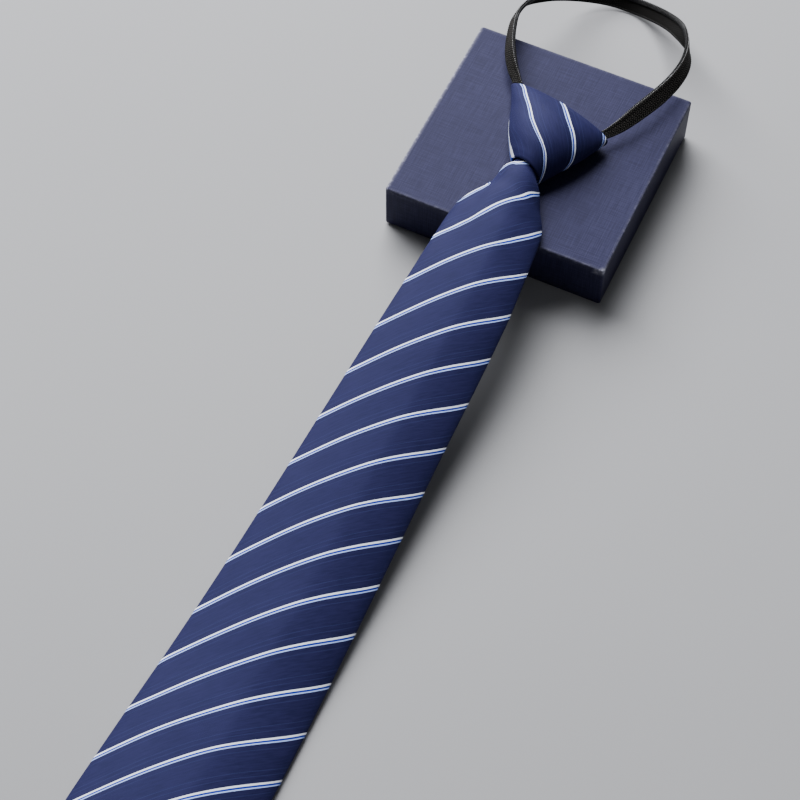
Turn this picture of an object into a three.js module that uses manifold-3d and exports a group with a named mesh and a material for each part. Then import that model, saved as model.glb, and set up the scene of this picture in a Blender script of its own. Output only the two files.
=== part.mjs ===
// Pre-tied zipper necktie laid over a small flat gift box.
// Units are millimetres, +Z is up. The origin is the middle of the box's underside,
// on the surface that everything rests on. The blade runs along -Y, towards the viewer.

import * as THREE from 'three';
import { mergeVertices } from 'three/addons/utils/BufferGeometryUtils.js';
import Module from 'manifold-3d';

const wasm = await Module();
wasm.setup();

// Driving dimensions

const gap = 0.3; // air between pieces that touch

const box = {
  side: 120,
  height: 29,
  board: 1.8,
  fit: 0.5, // air between lid and base, all round
  lidLift: 0.8, // the lid's rim stops this far above the table
  cornerRadius: 1.2,
  edgeRadius: 0.9,
};

const cloth = {
  front: 2.4, // silk over wool interlining
  back: 1.4, // folded flap behind the blade
  knot: 2.0, // wound wrap of the knot
  knotCorner: 1.2, // the same wrap where it folds round the tape
  roll: 2.1, // radius of the blade's rolled edges
};

const blade = {
  width: 82.5, // across the shoulders above the point
  length: 431, // from the knot's mouth to the tip
  crown: 12, // rise of the front over the back
  neck: 9, // length tucked up inside the knot
  tipRadius: 1.6,
  heading: -2.0, // degrees that the axis turns away from -Y
  ramp: 275, // plan distance from the box edge to the place where the blade meets the table
  seam: 0.8, // slot where the two back flaps meet
  hem: 6, // cloth turned under along the point
  tipHem: 10.2, // the same at the very tip, along the axis
  tipSolid: 13.2, // length at the tip where front and back lie together
  backOpening: 80, // length of the open triangle behind the point
};

const knot = {
  width: 61, // across the top
  height: 42.6, // from top edge to mouth
  thickness: 21.5,
  flare: 2.13, // how far the hollow is cut past both ends
  setback: 35.5, // from the box's front edge to the mouth
  side: 1.6, // mouth's middle, to the right of the box's middle
};

const zip = {
  tapeWidth: 8.6,
  tapeThickness: 1.2,
  coilWidth: 2.4,
  coilThickness: 1.5,
  chainWidth: 15,
  chainThickness: 1.6,
  chainLength: 150,
  chainInSlider: 2,
  loopReach: 112, // from the knot's top edge to the far end of the loop, in plan
  loopWidth: 97,
};

const slider = {
  width: 9.5,
  length: 12,
  plate: 0.6,
  post: 1.8,
  postLength: 3.6,
  shoulder: 2.4, // length of the rounded nose
  taper: 0.75, // width of the tail against the width of the nose
  depth: 24.1, // from the knot's top edge down to the slider's middle
  side: 0.4, // slider's middle, to the right of the mouth's middle
  rise: 0.15, // the round floor of the knot lifts its edges by this much
};

// Levels that follow from the sizes above

const lidTop = box.height;
const knotBack = lidTop + gap;
const knotFloor = knotBack + cloth.knot + gap; // lowest place for what lies inside the knot
const channel = zip.chainThickness + 2 * gap;
const zipLevel = knotFloor + slider.plate + channel / 2;
const bladeOnBox = lidTop + 2 * gap + zip.chainThickness;
const frontEdge = -box.side / 2;
const mouthY = frontEdge + knot.setback;
const mouthRise = 0.45; // the mouth's round floor lifts the chain's edges by this much
const bladeInMouth = knotFloor + mouthRise + zip.chainThickness + gap;

// Helpers

function smoothValue(rows, at, key, from) {
  const last = rows.length - 1;
  if (at <= rows[0][from]) return rows[0][key];
  if (at >= rows[last][from]) return rows[last][key];
  const i = rows.findIndex((row, n) => n < last && at < rows[n + 1][from]);
  const slope = (a, b) => (rows[b][key] - rows[a][key]) / (rows[b][from] - rows[a][from]);
  const tangent = (n) => {
    if (n === 0 || n === last) return 0;
    const before = slope(n - 1, n);
    const after = slope(n, n + 1);
    return before * after <= 0 ? 0 : (2 * before * after) / (before + after);
  };
  const width = rows[i + 1][from] - rows[i][from];
  const t = (at - rows[i][from]) / width;
  const [t2, t3] = [t * t, t * t * t];
  return (2 * t3 - 3 * t2 + 1) * rows[i][key] + (t3 - 2 * t2 + t) * width * tangent(i)
    + (3 * t2 - 2 * t3) * rows[i + 1][key] + (t3 - t2) * width * tangent(i + 1);
}

function place(section, point) {
  return section.origin.clone()
    .addScaledVector(section.across, point.x)
    .addScaledVector(section.up, point.y);
}

// Closed solid through sections whose outlines all have the same number of points.
function loft(sections) {
  const count = sections[0].outline.length;
  const positions = [];
  const index = [];
  for (const section of sections) {
    for (const point of section.outline) positions.push(...place(section, point).toArray());
  }
  for (let s = 0; s + 1 < sections.length; s += 1) {
    for (let i = 0; i < count; i += 1) {
      const a = s * count + i;
      const b = s * count + ((i + 1) % count);
      index.push(a, b, a + count, b, b + count, a + count);
    }
  }
  const lastRing = (sections.length - 1) * count;
  for (const [a, b, c] of THREE.ShapeUtils.triangulateShape(sections[0].outline, [])) {
    index.push(a, c, b);
  }
  for (const [a, b, c] of THREE.ShapeUtils.triangulateShape(sections.at(-1).outline, [])) {
    index.push(lastRing + a, lastRing + b, lastRing + c);
  }
  const geometry = new THREE.BufferGeometry();
  geometry.setAttribute('position', new THREE.Float32BufferAttribute(positions, 3));
  geometry.setIndex(index);
  return facesOut(geometry);
}

function facesOut(geometry) {
  const p = geometry.getAttribute('position');
  const index = geometry.getIndex().array;
  const [a, b, c] = [new THREE.Vector3(), new THREE.Vector3(), new THREE.Vector3()];
  let volume = 0;
  for (let i = 0; i < index.length; i += 3) {
    a.fromBufferAttribute(p, index[i]);
    b.fromBufferAttribute(p, index[i + 1]);
    c.fromBufferAttribute(p, index[i + 2]);
    volume += a.dot(b.cross(c));
  }
  if (volume < 0) {
    for (let i = 0; i < index.length; i += 3) [index[i], index[i + 1]] = [index[i + 1], index[i]];
  }
  return geometry;
}

function solidOf(geometry) {
  const bare = geometry.clone();
  bare.deleteAttribute('normal');
  bare.deleteAttribute('uv');
  const merged = mergeVertices(bare, 1e-4);
  return new wasm.Manifold(new wasm.Mesh({
    numProp: 3,
    vertProperties: new Float32Array(merged.getAttribute('position').array),
    triVerts: new Uint32Array(merged.getIndex().array),
  }));
}

function geometryOf(solid) {
  const mesh = solid.getMesh();
  const geometry = new THREE.BufferGeometry();
  geometry.setAttribute('position', new THREE.BufferAttribute(new Float32Array(mesh.vertProperties), 3));
  geometry.setIndex(new THREE.BufferAttribute(new Uint32Array(mesh.triVerts), 1));
  return geometry;
}

function cut(body, ...tools) {
  return geometryOf(tools.reduce((solid, tool) => solid.subtract(solidOf(tool)), solidOf(body)));
}

function join(...bodies) {
  return geometryOf(bodies.slice(1).reduce((solid, body) => solid.add(solidOf(body)), solidOf(bodies[0])));
}

const tie = new THREE.Group();

function addPiece(name, geometry, { color, roughness, metalness = 0 }) {
  const mesh = new THREE.Mesh(geometry, new THREE.MeshStandardMaterial({ color, roughness, metalness }));
  mesh.name = name;
  tie.add(mesh);
  return mesh;
}

const finishes = {
  silk: { color: 0x26325f, roughness: 0.5 },
  tape: { color: 0x141416, roughness: 0.8 },
  coil: { color: 0x0c0c0e, roughness: 0.35 },
  metal: { color: 0x2b2b2e, roughness: 0.4, metalness: 0.9 },
  paper: { color: 0x2a2f52, roughness: 0.65 },
};

// Gift box: a lid of full depth over a tray, both of covered board

function roundedSquare(side, radius, steps = 3) {
  const half = side / 2 - radius;
  const points = [];
  for (const [sx, sy, turn] of [[1, 1, 0], [-1, 1, 1], [-1, -1, 2], [1, -1, 3]]) {
    for (let i = 0; i <= steps; i += 1) {
      const angle = (turn + i / steps) * Math.PI / 2;
      points.push(new THREE.Vector2(
        sx * half + radius * Math.cos(angle),
        sy * half + radius * Math.sin(angle),
      ));
    }
  }
  return points;
}

function level(z, side, radius) {
  return {
    origin: new THREE.Vector3(0, 0, z),
    across: new THREE.Vector3(1, 0, 0),
    up: new THREE.Vector3(0, 1, 0),
    outline: roundedSquare(side, radius),
  };
}

function buildLid() {
  const r = box.edgeRadius;
  const rounding = [0, 0.5, 1].map((share) => {
    const angle = share * Math.PI / 2;
    const inset = r * (1 - Math.cos(angle));
    return level(box.height - r + r * Math.sin(angle), box.side - 2 * inset, box.cornerRadius);
  });
  const shell = loft([level(box.lidLift, box.side, box.cornerRadius), ...rounding]);
  const inside = box.side - 2 * box.board;
  const hollow = loft([
    level(box.lidLift - gap, inside, gap),
    level(box.height - box.board, inside, gap),
  ]);
  return cut(shell, hollow);
}

function buildBase() {
  const outside = box.side - 2 * box.board - 2 * box.fit;
  const inside = outside - 2 * box.board;
  const top = box.height - box.board - gap;
  return cut(
    loft([level(0, outside, box.fit), level(top, outside, box.fit)]),
    loft([level(box.board, inside, gap), level(top + gap, inside, gap)]),
  );
}

// Blade: one folded cloth, crowned in front, with two flaps that meet behind.
// run is a share of the blade's length from the mouth, half of its width, crown of its crown,
// side of its width; yaw is in degrees, away from square to the axis.

const bladeRows = [
  { run: -0.021, half: 0.082, crown: 0.72, side: 0.002, yaw: -17 },
  { run: 0, half: 0.0885, crown: 0.74, side: 0, yaw: -18 },
  { run: 0.014, half: 0.142, crown: 0.87, side: -0.002, yaw: -15 },
  { run: 0.035, half: 0.192, crown: 0.93, side: -0.002, yaw: -9 },
  { run: 0.058, half: 0.264, crown: 0.90, side: -0.006, yaw: -4 },
  { run: 0.080, half: 0.298, crown: 0.84, side: 0.008, yaw: -1 },
  { run: 0.120, half: 0.311, crown: 0.79, side: 0.018, yaw: 0 },
  { run: 0.200, half: 0.334, crown: 0.78, side: 0.02, yaw: 0 },
  { run: 0.400, half: 0.387, crown: 0.85, side: 0.02, yaw: 0 },
  { run: 0.600, half: 0.434, crown: 0.93, side: 0.02, yaw: 0 },
  { run: 0.800, half: 0.483, crown: 1.0, side: 0.02, yaw: 0 },
  { run: 0.905, half: 0.5, crown: 1.0, side: 0.02, yaw: 0 },
];

// Height of the blade's back past the box edge: run is a share of the ramp, high of its start.
const rampRows = [
  { run: 0, high: 1 },
  { run: 0.09, high: 0.945 },
  { run: 0.2, high: 0.82 },
  { run: 0.4, high: 0.545 },
  { run: 0.6, high: 0.3 },
  { run: 0.8, high: 0.105 },
  { run: 1, high: 0 },
];

// Height of the blade's back between mouth and box edge: run is a share of the setback.
const saddleRows = [
  { run: -0.4, high: 1 },
  { run: 0.1, high: 1 },
  { run: 0.5, high: 0.25 },
  { run: 0.85, high: 0 },
];

const axisHeading = THREE.MathUtils.degToRad(blade.heading);
const bladeAxis = new THREE.Vector3(Math.sin(axisHeading), -Math.cos(axisHeading), 0);
const bladeAcross = new THREE.Vector3(Math.cos(axisHeading), Math.sin(axisHeading), 0);
const shoulderRun = 1 - blade.width / 2 / blade.length;
const pointThinning = 0.8; // smaller keeps the point thick for longer

function backHeight(y) {
  if (y >= frontEdge) {
    const share = smoothValue(saddleRows, (mouthY - y) / knot.setback, 'high', 'run');
    return bladeOnBox + (bladeInMouth - bladeOnBox) * share;
  }
  return bladeOnBox * smoothValue(rampRows, (frontEdge - y) / blade.ramp, 'high', 'run');
}

// Place, half width and crown of the blade at one share of its length.
function bladeAt(run) {
  const read = (key) => smoothValue(bladeRows, run, key, 'run');
  const point = THREE.MathUtils.clamp((run - shoulderRun) / (1 - shoulderRun), 0, 1);
  const half = Math.max(read('half') * blade.width * (1 - point), blade.tipRadius);
  const flat = 2 * cloth.roll;
  const crown = flat + (read('crown') * blade.crown - flat) * Math.pow(1 - point, pointThinning);
  const origin = new THREE.Vector3(knot.side, mouthY, 0)
    .addScaledVector(bladeAxis, run * blade.length)
    .addScaledVector(bladeAcross, read('side') * blade.width);
  origin.z = backHeight(origin.y);
  const yaw = THREE.MathUtils.degToRad(read('yaw'));
  const across = bladeAcross.clone().applyAxisAngle(new THREE.Vector3(0, 0, 1), yaw);
  return { origin, across, up: new THREE.Vector3(0, 0, 1), half, crown };
}

// Outline with a flat back, round lower corners and an arched top.
const cornerSteps = 3;
const archSteps = 16;
const archFullness = 0.68; // smaller makes the arch fuller

function archOutline(half, base, top, roll) {
  const radius = Math.min(roll, half / 2, (top - base) / 2);
  const shoulder = base + radius;
  const corner = Array.from({ length: cornerSteps }, (_, i) => {
    const angle = i / cornerSteps * Math.PI / 2;
    const reach = half - radius + radius * Math.sin(angle);
    return new THREE.Vector2(reach, shoulder - radius * Math.cos(angle));
  });
  const arch = Array.from({ length: archSteps + 1 }, (_, i) => {
    const u = Math.cos(i / archSteps * Math.PI);
    const rise = Math.pow(Math.max(1 - u * u, 0), archFullness);
    return new THREE.Vector2(half * u, shoulder + (top - shoulder) * rise);
  });
  const otherCorner = corner.map((point) => new THREE.Vector2(-point.x, point.y)).reverse();
  return [...corner, ...arch, ...otherCorner];
}

// Where the blade's sections lie: close together at the tuck below the knot, then spaced out,
// then at the places where its point begins and ends.
const tuckRuns = [-0.004, 0.005, 0.012, 0.02, 0.033, 0.045, 0.058, 0.068, 0.078, 0.086, 0.095, 0.11, 0.135, 0.17];
const bodySpacing = 0.06;
const bodyRuns = Array.from({ length: 10 }, (_, i) => 0.22 + i * bodySpacing);
const openingRun = 1 - blade.backOpening / blade.length;
const pointRuns = [0.5, 0.8].map((share) => shoulderRun + share * (1 - shoulderRun));
const allRuns = [
  -blade.neck / blade.length, ...tuckRuns, ...bodyRuns,
  openingRun, (openingRun + shoulderRun) / 2, shoulderRun, ...pointRuns, 1 - blade.tipRadius / blade.length,
];

function bladeRuns(start, end) {
  return allRuns.filter((run) => run > start && run < end).sort((a, b) => a - b);
}

function buildBlade() {
  const outer = (run) => {
    const s = bladeAt(run);
    return { ...s, outline: archOutline(s.half, 0, s.crown, cloth.roll) };
  };
  const inner = (run) => {
    const s = bladeAt(run);
    const half = s.half - cloth.front;
    const top = s.crown - cloth.front;
    return { ...s, outline: archOutline(half, cloth.back, top, cloth.back) };
  };
  const opening = (run) => {
    const s = bladeAt(run);
    const share = THREE.MathUtils.clamp((run - openingRun) / (shoulderRun - openingRun), 0, 1);
    const widest = Math.max(s.half - blade.hem, blade.seam);
    const half = blade.seam / 2 + (widest - blade.seam / 2) * share;
    const [under, over] = [-gap, cloth.back + gap];
    const outline = [[half, under], [half, over], [-half, over], [-half, under]];
    return { ...s, outline: outline.map(([x, y]) => new THREE.Vector2(x, y)) };
  };
  const neckRun = -blade.neck / blade.length;
  const cavityEnd = 1 - blade.tipSolid / blade.length;
  const openingEnd = 1 - blade.tipHem / blade.length;
  return cut(
    loft(bladeRuns(-1, 1).map(outer)),
    loft([2 * neckRun, ...bladeRuns(neckRun, cavityEnd), cavityEnd].map(inner)),
    loft([2 * neckRun, ...bladeRuns(neckRun, openingEnd), openingEnd].map(opening)),
  );
}

// Knot: one wound wrap, an open funnel from its wide top to the mouth.
// run is a share of the knot's height down from the top, half of its width, high of its
// thickness, side of its width; yaw is in degrees and arch shapes the front, smaller is fuller.

const knotRows = [
  { run: 0, half: 0.5, high: 0.73, side: 0.012, yaw: -12.4, arch: 0.56 },
  { run: 0.1, half: 0.475, high: 0.84, side: 0.013, yaw: -13, arch: 0.6 },
  { run: 0.32, half: 0.41, high: 0.97, side: 0.015, yaw: -14, arch: 0.6 },
  { run: 0.54, half: 0.344, high: 1.0, side: 0.002, yaw: -15.5, arch: 0.56 },
  { run: 0.73, half: 0.275, high: 0.95, side: -0.01, yaw: -17, arch: 0.52 },
  { run: 0.92, half: 0.192, high: 0.82, side: -0.008, yaw: -18, arch: 0.5 },
  { run: 1, half: 0.159, high: 0.76, side: 0, yaw: -18, arch: 0.5 },
];
const knotCorner = 0.42; // height of the section's corners, as a share of its height
const knotFlatness = 0.3; // smaller makes the knot's back flatter
const knotSides = 36;
const knotRuns = [0, 0.05, 0.12, 0.22, 0.34, 0.46, 0.58, 0.7, 0.8, 0.9, 1];

function knotAt(run) {
  const read = (key) => smoothValue(knotRows, run, key, 'run');
  const origin = new THREE.Vector3(
    knot.side + read('side') * knot.width,
    mouthY + (1 - run) * knot.height,
    knotBack,
  );
  const yaw = THREE.MathUtils.degToRad(read('yaw'));
  return {
    origin,
    across: new THREE.Vector3(Math.cos(yaw), Math.sin(yaw), 0),
    up: new THREE.Vector3(0, 0, 1),
    half: read('half') * knot.width,
    high: read('high') * knot.thickness,
    arch: read('arch'),
  };
}

// Oval with its widest place at the corner height, an arched front and a flatter back.
function knotOutline(section, wall) {
  const corner = section.high * knotCorner;
  const half = section.half - wall * cloth.knotCorner / cloth.knot;
  return Array.from({ length: knotSides }, (_, i) => {
    const angle = i / knotSides * 2 * Math.PI;
    const front = angle < Math.PI;
    const rise = Math.pow(Math.abs(Math.sin(angle)), 2 * (front ? section.arch : knotFlatness));
    const reach = front ? section.high - wall - corner : wall - corner;
    return new THREE.Vector2(half * Math.cos(angle), corner + reach * rise);
  });
}

function buildKnot() {
  const layer = (wall) => (run) => {
    const section = knotAt(run);
    return { ...section, outline: knotOutline(section, wall) };
  };
  const beyond = knot.flare / knot.height;
  return cut(
    loft(knotRuns.map(layer(0))),
    loft([-beyond, ...knotRuns, 1 + beyond].map(layer(cloth.knot))),
  );
}

// Zip: two tapes that leave the slider, go round the neck as one loop and hang zipped
// together behind the blade. The rows are the loop's chosen points, each the middle of the tape:
// side is a share of the loop's width to the right of the mouth, back a share of its reach
// behind the knot's top, high a share of the way from lying on the table to the slider's level,
// lean the tilt of the outer face up from upright in degrees, wide a share of the tape's width.

const loopRows = [
  { side: -0.023, back: -0.193, high: 1.0, lean: 90, wide: 0.3 },
  { side: -0.025, back: -0.148, high: 1.0, lean: 90, wide: 0.33 },
  { side: -0.090, back: -0.070, high: 1.03, lean: 84, wide: 0.42 },
  { side: -0.180, back: -0.005, high: 1.06, lean: 72, wide: 0.46 },
  { side: -0.245, back: 0.046, high: 1.09, lean: 60, wide: 0.5 },
  { side: -0.299, back: 0.098, high: 1.125, lean: 50, wide: 0.62 },
  { side: -0.345, back: 0.145, high: 1.165, lean: 44, wide: 0.82 },
  { side: -0.398, back: 0.22, high: 1.197, lean: 43, wide: 1 },
  { side: -0.448, back: 0.336, high: 1.18, lean: 42, wide: 1 },
  { side: -0.474, back: 0.44, high: 1.131, lean: 38, wide: 1 },
  { side: -0.463, back: 0.56, high: 1.03, lean: 24, wide: 1 },
  { side: -0.405, back: 0.72, high: 0.74, lean: -10, wide: 1 },
  { side: -0.285, back: 0.905, high: 0.246, lean: -42, wide: 1 },
  { side: -0.122, back: 0.992, high: 0.03, lean: -50, wide: 1 },
  { side: 0.018, back: 1.0, high: 0, lean: -50, wide: 1 },
  { side: 0.158, back: 0.955, high: 0.154, lean: -50, wide: 1 },
  { side: 0.268, back: 0.883, high: 0.38, lean: -50, wide: 1 },
  { side: 0.350, back: 0.80, high: 0.636, lean: -48, wide: 1 },
  { side: 0.410, back: 0.713, high: 0.886, lean: -32, wide: 1 },
  { side: 0.457, back: 0.615, high: 1.06, lean: 4, wide: 1 },
  { side: 0.485, back: 0.505, high: 1.16, lean: 24, wide: 1 },
  { side: 0.486, back: 0.392, high: 1.203, lean: 34, wide: 1 },
  { side: 0.460, back: 0.267, high: 1.213, lean: 43, wide: 1 },
  { side: 0.400, back: 0.138, high: 1.203, lean: 48, wide: 0.95 },
  { side: 0.333, back: 0.022, high: 1.15, lean: 54, wide: 0.74 },
  { side: 0.268, back: -0.047, high: 1.095, lean: 60, wide: 0.52 },
  { side: 0.185, back: -0.082, high: 1.055, lean: 72, wide: 0.46 },
  { side: 0.100, back: -0.110, high: 1.02, lean: 84, wide: 0.4 },
  { side: 0.033, back: -0.148, high: 1.0, lean: 90, wide: 0.33 },
  { side: 0.031, back: -0.193, high: 1.0, lean: 90, wide: 0.3 },
];
const farLean = THREE.MathUtils.degToRad(50); // the far end leans out as it rests on its edge
const tapeOnTable = gap + zip.tapeWidth / 2 * Math.cos(farLean) + zip.tapeThickness / 2 * Math.sin(farLean);

const knotTopY = mouthY + knot.height;
const loopCurve = new THREE.CatmullRomCurve3(loopRows.map((row) => new THREE.Vector3(
  knot.side + row.side * zip.loopWidth,
  knotTopY + row.back * zip.loopReach,
  tapeOnTable + row.high * (zipLevel - tapeOnTable),
)), false, 'centripetal');
const sliderY = knotTopY - slider.depth;
const loopSteps = 4 * (loopRows.length - 1);
const loopTurn = loopRows.map((row, i) => ({ ...row, at: i / (loopRows.length - 1) }));

function loopFrame(t) {
  const origin = loopCurve.getPoint(t);
  const along = loopCurve.getTangent(t);
  const outward = new THREE.Vector3(-along.y, along.x, 0).normalize();
  const lean = THREE.MathUtils.degToRad(smoothValue(loopTurn, t, 'lean', 'at'));
  const face = outward.multiplyScalar(Math.cos(lean)).add(new THREE.Vector3(0, 0, Math.sin(lean)));
  face.addScaledVector(along, -face.dot(along)).normalize();
  const across = along.clone().cross(face).normalize();
  return { origin, across, up: face, wide: smoothValue(loopTurn, t, 'wide', 'at') };
}

const stripCorner = 0.3; // size of a strip's cut corners, as a share of its thickness

function roundedStrip(width, thickness) {
  const [w, h, c] = [width / 2, thickness / 2, thickness * stripCorner];
  return [[w - c, -h], [w, -h + c], [w, h - c], [w - c, h], [-w + c, h], [-w, h - c], [-w, -h + c], [-w + c, -h]]
    .map(([x, y]) => new THREE.Vector2(x, y));
}

function buildTape() {
  const sections = Array.from({ length: loopSteps + 1 }, (_, i) => {
    const frame = loopFrame(i / loopSteps);
    return { ...frame, outline: roundedStrip(zip.tapeWidth * frame.wide, zip.tapeThickness) };
  });
  return loft(sections);
}

// The coil lies along the inside of the tape's upper edge, outside the knot.
const coilSides = 8;
const coilSpan = { start: 0.1, end: 0.9 };

function buildCoil() {
  const { start, end } = coilSpan;
  const steps = Math.round(loopSteps * (end - start));
  const sections = Array.from({ length: steps + 1 }, (_, i) => {
    const frame = loopFrame(start + (end - start) * i / steps);
    const edge = zip.tapeWidth * frame.wide / 2 - zip.coilWidth / 4;
    const drop = (zip.tapeThickness + zip.coilThickness) / 2 + gap;
    const outline = Array.from({ length: coilSides }, (__, n) => {
      const angle = n / coilSides * 2 * Math.PI;
      return new THREE.Vector2(
        edge + zip.coilWidth / 2 * Math.cos(angle),
        -drop + zip.coilThickness / 2 * Math.sin(angle),
      );
    });
    return { ...frame, outline };
  });
  return loft(sections);
}

// Zipped chain: from the slider down behind the blade, always under its back.
const chainSteps = 24;
const chainCrowding = 1.3; // more than 1 crowds the sections towards the slider

function buildChain() {
  const start = (mouthY - (sliderY - slider.length / 2 + zip.chainInSlider)) / blade.length;
  const end = zip.chainLength / blade.length;
  const neckRun = -blade.neck / blade.length;
  const chainRows = [
    { run: start, wide: 0.44, level: 1 },
    { run: start + zip.chainInSlider / blade.length, wide: 0.44, level: 1 },
    { run: neckRun, wide: 0.48, level: 0 },
    { run: 0, wide: 0.48, level: 0 },
    { run: 0.1, wide: 1, level: 0 },
    { run: end, wide: 1, level: 0 },
  ];
  const sections = Array.from({ length: chainSteps + 1 }, (_, i) => {
    const run = start + (end - start) * Math.pow(i / chainSteps, chainCrowding);
    const section = bladeAt(run);
    const underBlade = section.origin.z - gap - zip.chainThickness / 2;
    const toSlider = smoothValue(chainRows, run, 'level', 'run');
    section.origin.z = underBlade + (zipLevel + slider.rise - underBlade) * toSlider;
    const width = zip.chainWidth * smoothValue(chainRows, run, 'wide', 'run');
    return { ...section, outline: roundedStrip(width, zip.chainThickness) };
  });
  return loft(sections);
}

// Slider: two plates held apart by a post, with the tapes running between them.
function buildSlider() {
  const span = 2 * slider.plate + channel;
  const plate = (z) => {
    const outline = new THREE.Shape();
    const [w, l] = [slider.width / 2, slider.length / 2];
    const shoulder = l - slider.shoulder;
    outline.moveTo(-w, shoulder);
    outline.quadraticCurveTo(-w, l, 0, l);
    outline.quadraticCurveTo(w, l, w, shoulder);
    outline.lineTo(w * slider.taper, -l);
    outline.lineTo(-w * slider.taper, -l);
    outline.closePath();
    const body = new THREE.ExtrudeGeometry(outline, { depth: slider.plate, bevelEnabled: false, curveSegments: 5 });
    return body.translate(0, 0, z);
  };
  const post = new THREE.BoxGeometry(slider.post, slider.postLength, span)
    .translate(0, (slider.length - slider.postLength) / 2 - slider.plate, span / 2);
  return join(plate(0), plate(span - slider.plate), post);
}

addPiece('gift_box_lid', buildLid(), finishes.paper);
addPiece('gift_box_base', buildBase(), finishes.paper);
addPiece('blade', buildBlade(), finishes.silk);
addPiece('knot', buildKnot(), finishes.silk);
addPiece('neck_band', buildTape(), finishes.tape);
addPiece('zip_coil', buildCoil(), finishes.coil);
addPiece('zip_chain', buildChain(), finishes.tape);
const sliderMesh = addPiece('zip_slider', buildSlider(), finishes.metal);
sliderMesh.position.set(knot.side + slider.side, sliderY, knotFloor + slider.rise);

export default tie;
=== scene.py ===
"""Looks of a pre-tied zipper necktie that lies over a flat covered gift box.

Lengths are metres in the model's own frame: the origin is the middle of the box's underside,
+Z is up and the blade runs along -Y. Each main piece takes the place of the plain solid of the
same part, and the slider keeps its solid and only gets a finish.
"""

from __future__ import annotations

import functools
import logging
import math
from dataclasses import dataclass
from enum import Enum

import bmesh
import bpy
import numpy as np
from mathutils import Matrix, Vector

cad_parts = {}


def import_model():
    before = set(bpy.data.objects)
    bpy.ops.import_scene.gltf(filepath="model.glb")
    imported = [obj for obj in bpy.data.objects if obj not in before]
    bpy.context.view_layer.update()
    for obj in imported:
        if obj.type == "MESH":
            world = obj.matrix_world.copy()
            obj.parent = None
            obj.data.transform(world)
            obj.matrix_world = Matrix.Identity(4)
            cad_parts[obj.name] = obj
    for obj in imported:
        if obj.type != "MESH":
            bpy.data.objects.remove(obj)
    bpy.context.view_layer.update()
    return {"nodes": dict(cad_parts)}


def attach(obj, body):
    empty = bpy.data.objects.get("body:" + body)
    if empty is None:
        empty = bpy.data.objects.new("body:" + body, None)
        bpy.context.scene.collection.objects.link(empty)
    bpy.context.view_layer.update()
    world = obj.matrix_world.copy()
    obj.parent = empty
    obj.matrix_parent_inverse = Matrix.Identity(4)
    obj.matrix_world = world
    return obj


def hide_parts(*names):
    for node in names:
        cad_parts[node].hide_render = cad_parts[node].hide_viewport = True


LOG = logging.getLogger("zipper_tie")
BODY = "root"
MM = 0.001
GAP = 0.3 * MM
UV_NAME = "cloth"
UP = np.array([0.0, 0.0, 1.0])


@dataclass(frozen=True)
class SmoothTable:
    """Rows of named columns, read along a smooth curve that never overshoots its rows.

    Attributes:
        columns: Names of the columns. The first one is the place that the rows are read by.
        rows: The rows, with rising places.
    """

    columns: tuple[str, ...]
    rows: tuple[tuple[float, ...], ...]

    def column(self, name: str) -> np.ndarray:
        """Returns one column's values."""
        return np.array([row[self.columns.index(name)] for row in self.rows])

    def read(self, name: str, at: np.ndarray | float) -> np.ndarray:
        """Reads a column between its rows.

        Args:
            name: The column.
            at: Places to read it at.

        Returns:
            The column's value at each place.
        """
        places = self.column(self.columns[0])
        values = self.column(name)
        slopes = np.diff(values) / np.diff(places)
        before = slopes[:-1]
        after = slopes[1:]
        same_way = before * after > 0
        tangents = np.zeros(len(values))
        total = np.where(same_way, before + after, 1.0)
        tangents[1:-1] = np.where(same_way, 2 * before * after / total, 0.0)
        at = np.clip(np.asarray(at, dtype=float), places[0], places[-1])
        i = np.clip(np.searchsorted(places, at, side="right") - 1, 0, len(places) - 2)
        width = places[i + 1] - places[i]
        t = (at - places[i]) / width
        start = (2 * t**3 - 3 * t**2 + 1) * values[i] + (t**3 - 2 * t**2 + t) * width * tangents[i]
        end = (3 * t**2 - 2 * t**3) * values[i + 1] + (t**3 - t**2) * width * tangents[i + 1]
        return start + end


def smoothstep(low: float, high: float, value: np.ndarray) -> np.ndarray:
    """Returns 0 below low, 1 above high and a smooth step between them."""
    t = np.clip((value - low) / (high - low), 0.0, 1.0)
    return t * t * (3 - 2 * t)


@dataclass(frozen=True)
class Tuck:
    """A place left of the crest where the cloth is tucked, so its stripes slip along it.

    Attributes:
        slip: The slip, in mm.
        out: Where it starts and is whole, left of the crest in mm.
        low: Where it starts and is whole, up the cloth in mm.
        high: Where it is over and still whole, down the cloth in mm.
    """

    slip: float
    out: tuple[float, float]
    low: tuple[float, float]
    high: tuple[float, float] = (-99.0, -90.0)

    def read(self, left: np.ndarray, up: np.ndarray) -> np.ndarray:
        """Returns the slip in mm, at distances left of the crest and up the cloth in mm."""
        inside = smoothstep(*self.out, left) * smoothstep(*self.low, up) * smoothstep(*self.high, -up)
        return self.slip * inside


def unit(vectors: np.ndarray) -> np.ndarray:
    """Returns the vectors at length 1."""
    return vectors / np.linalg.norm(vectors, axis=-1, keepdims=True)


def run_lengths(points: np.ndarray) -> np.ndarray:
    """Measures the way along lines of points.

    Args:
        points: Points, with the line's points along the last axis but one.

    Returns:
        The distance from each line's first point to each of its points.
    """
    steps = np.linalg.norm(np.diff(points, axis=-2), axis=-1)
    start = np.zeros(steps.shape[:-1] + (1,))
    return np.concatenate([start, np.cumsum(steps, axis=-1)], axis=-1)


def new_object(name: str, mesh: bpy.types.Mesh) -> bpy.types.Object:
    """Shows a mesh in the scene.

    Args:
        name: The new object's name.
        mesh: Its mesh.

    Returns:
        The object, at the origin.
    """
    made = bpy.data.objects.new(name, mesh)
    bpy.context.scene.collection.objects.link(made)
    return made


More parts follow.
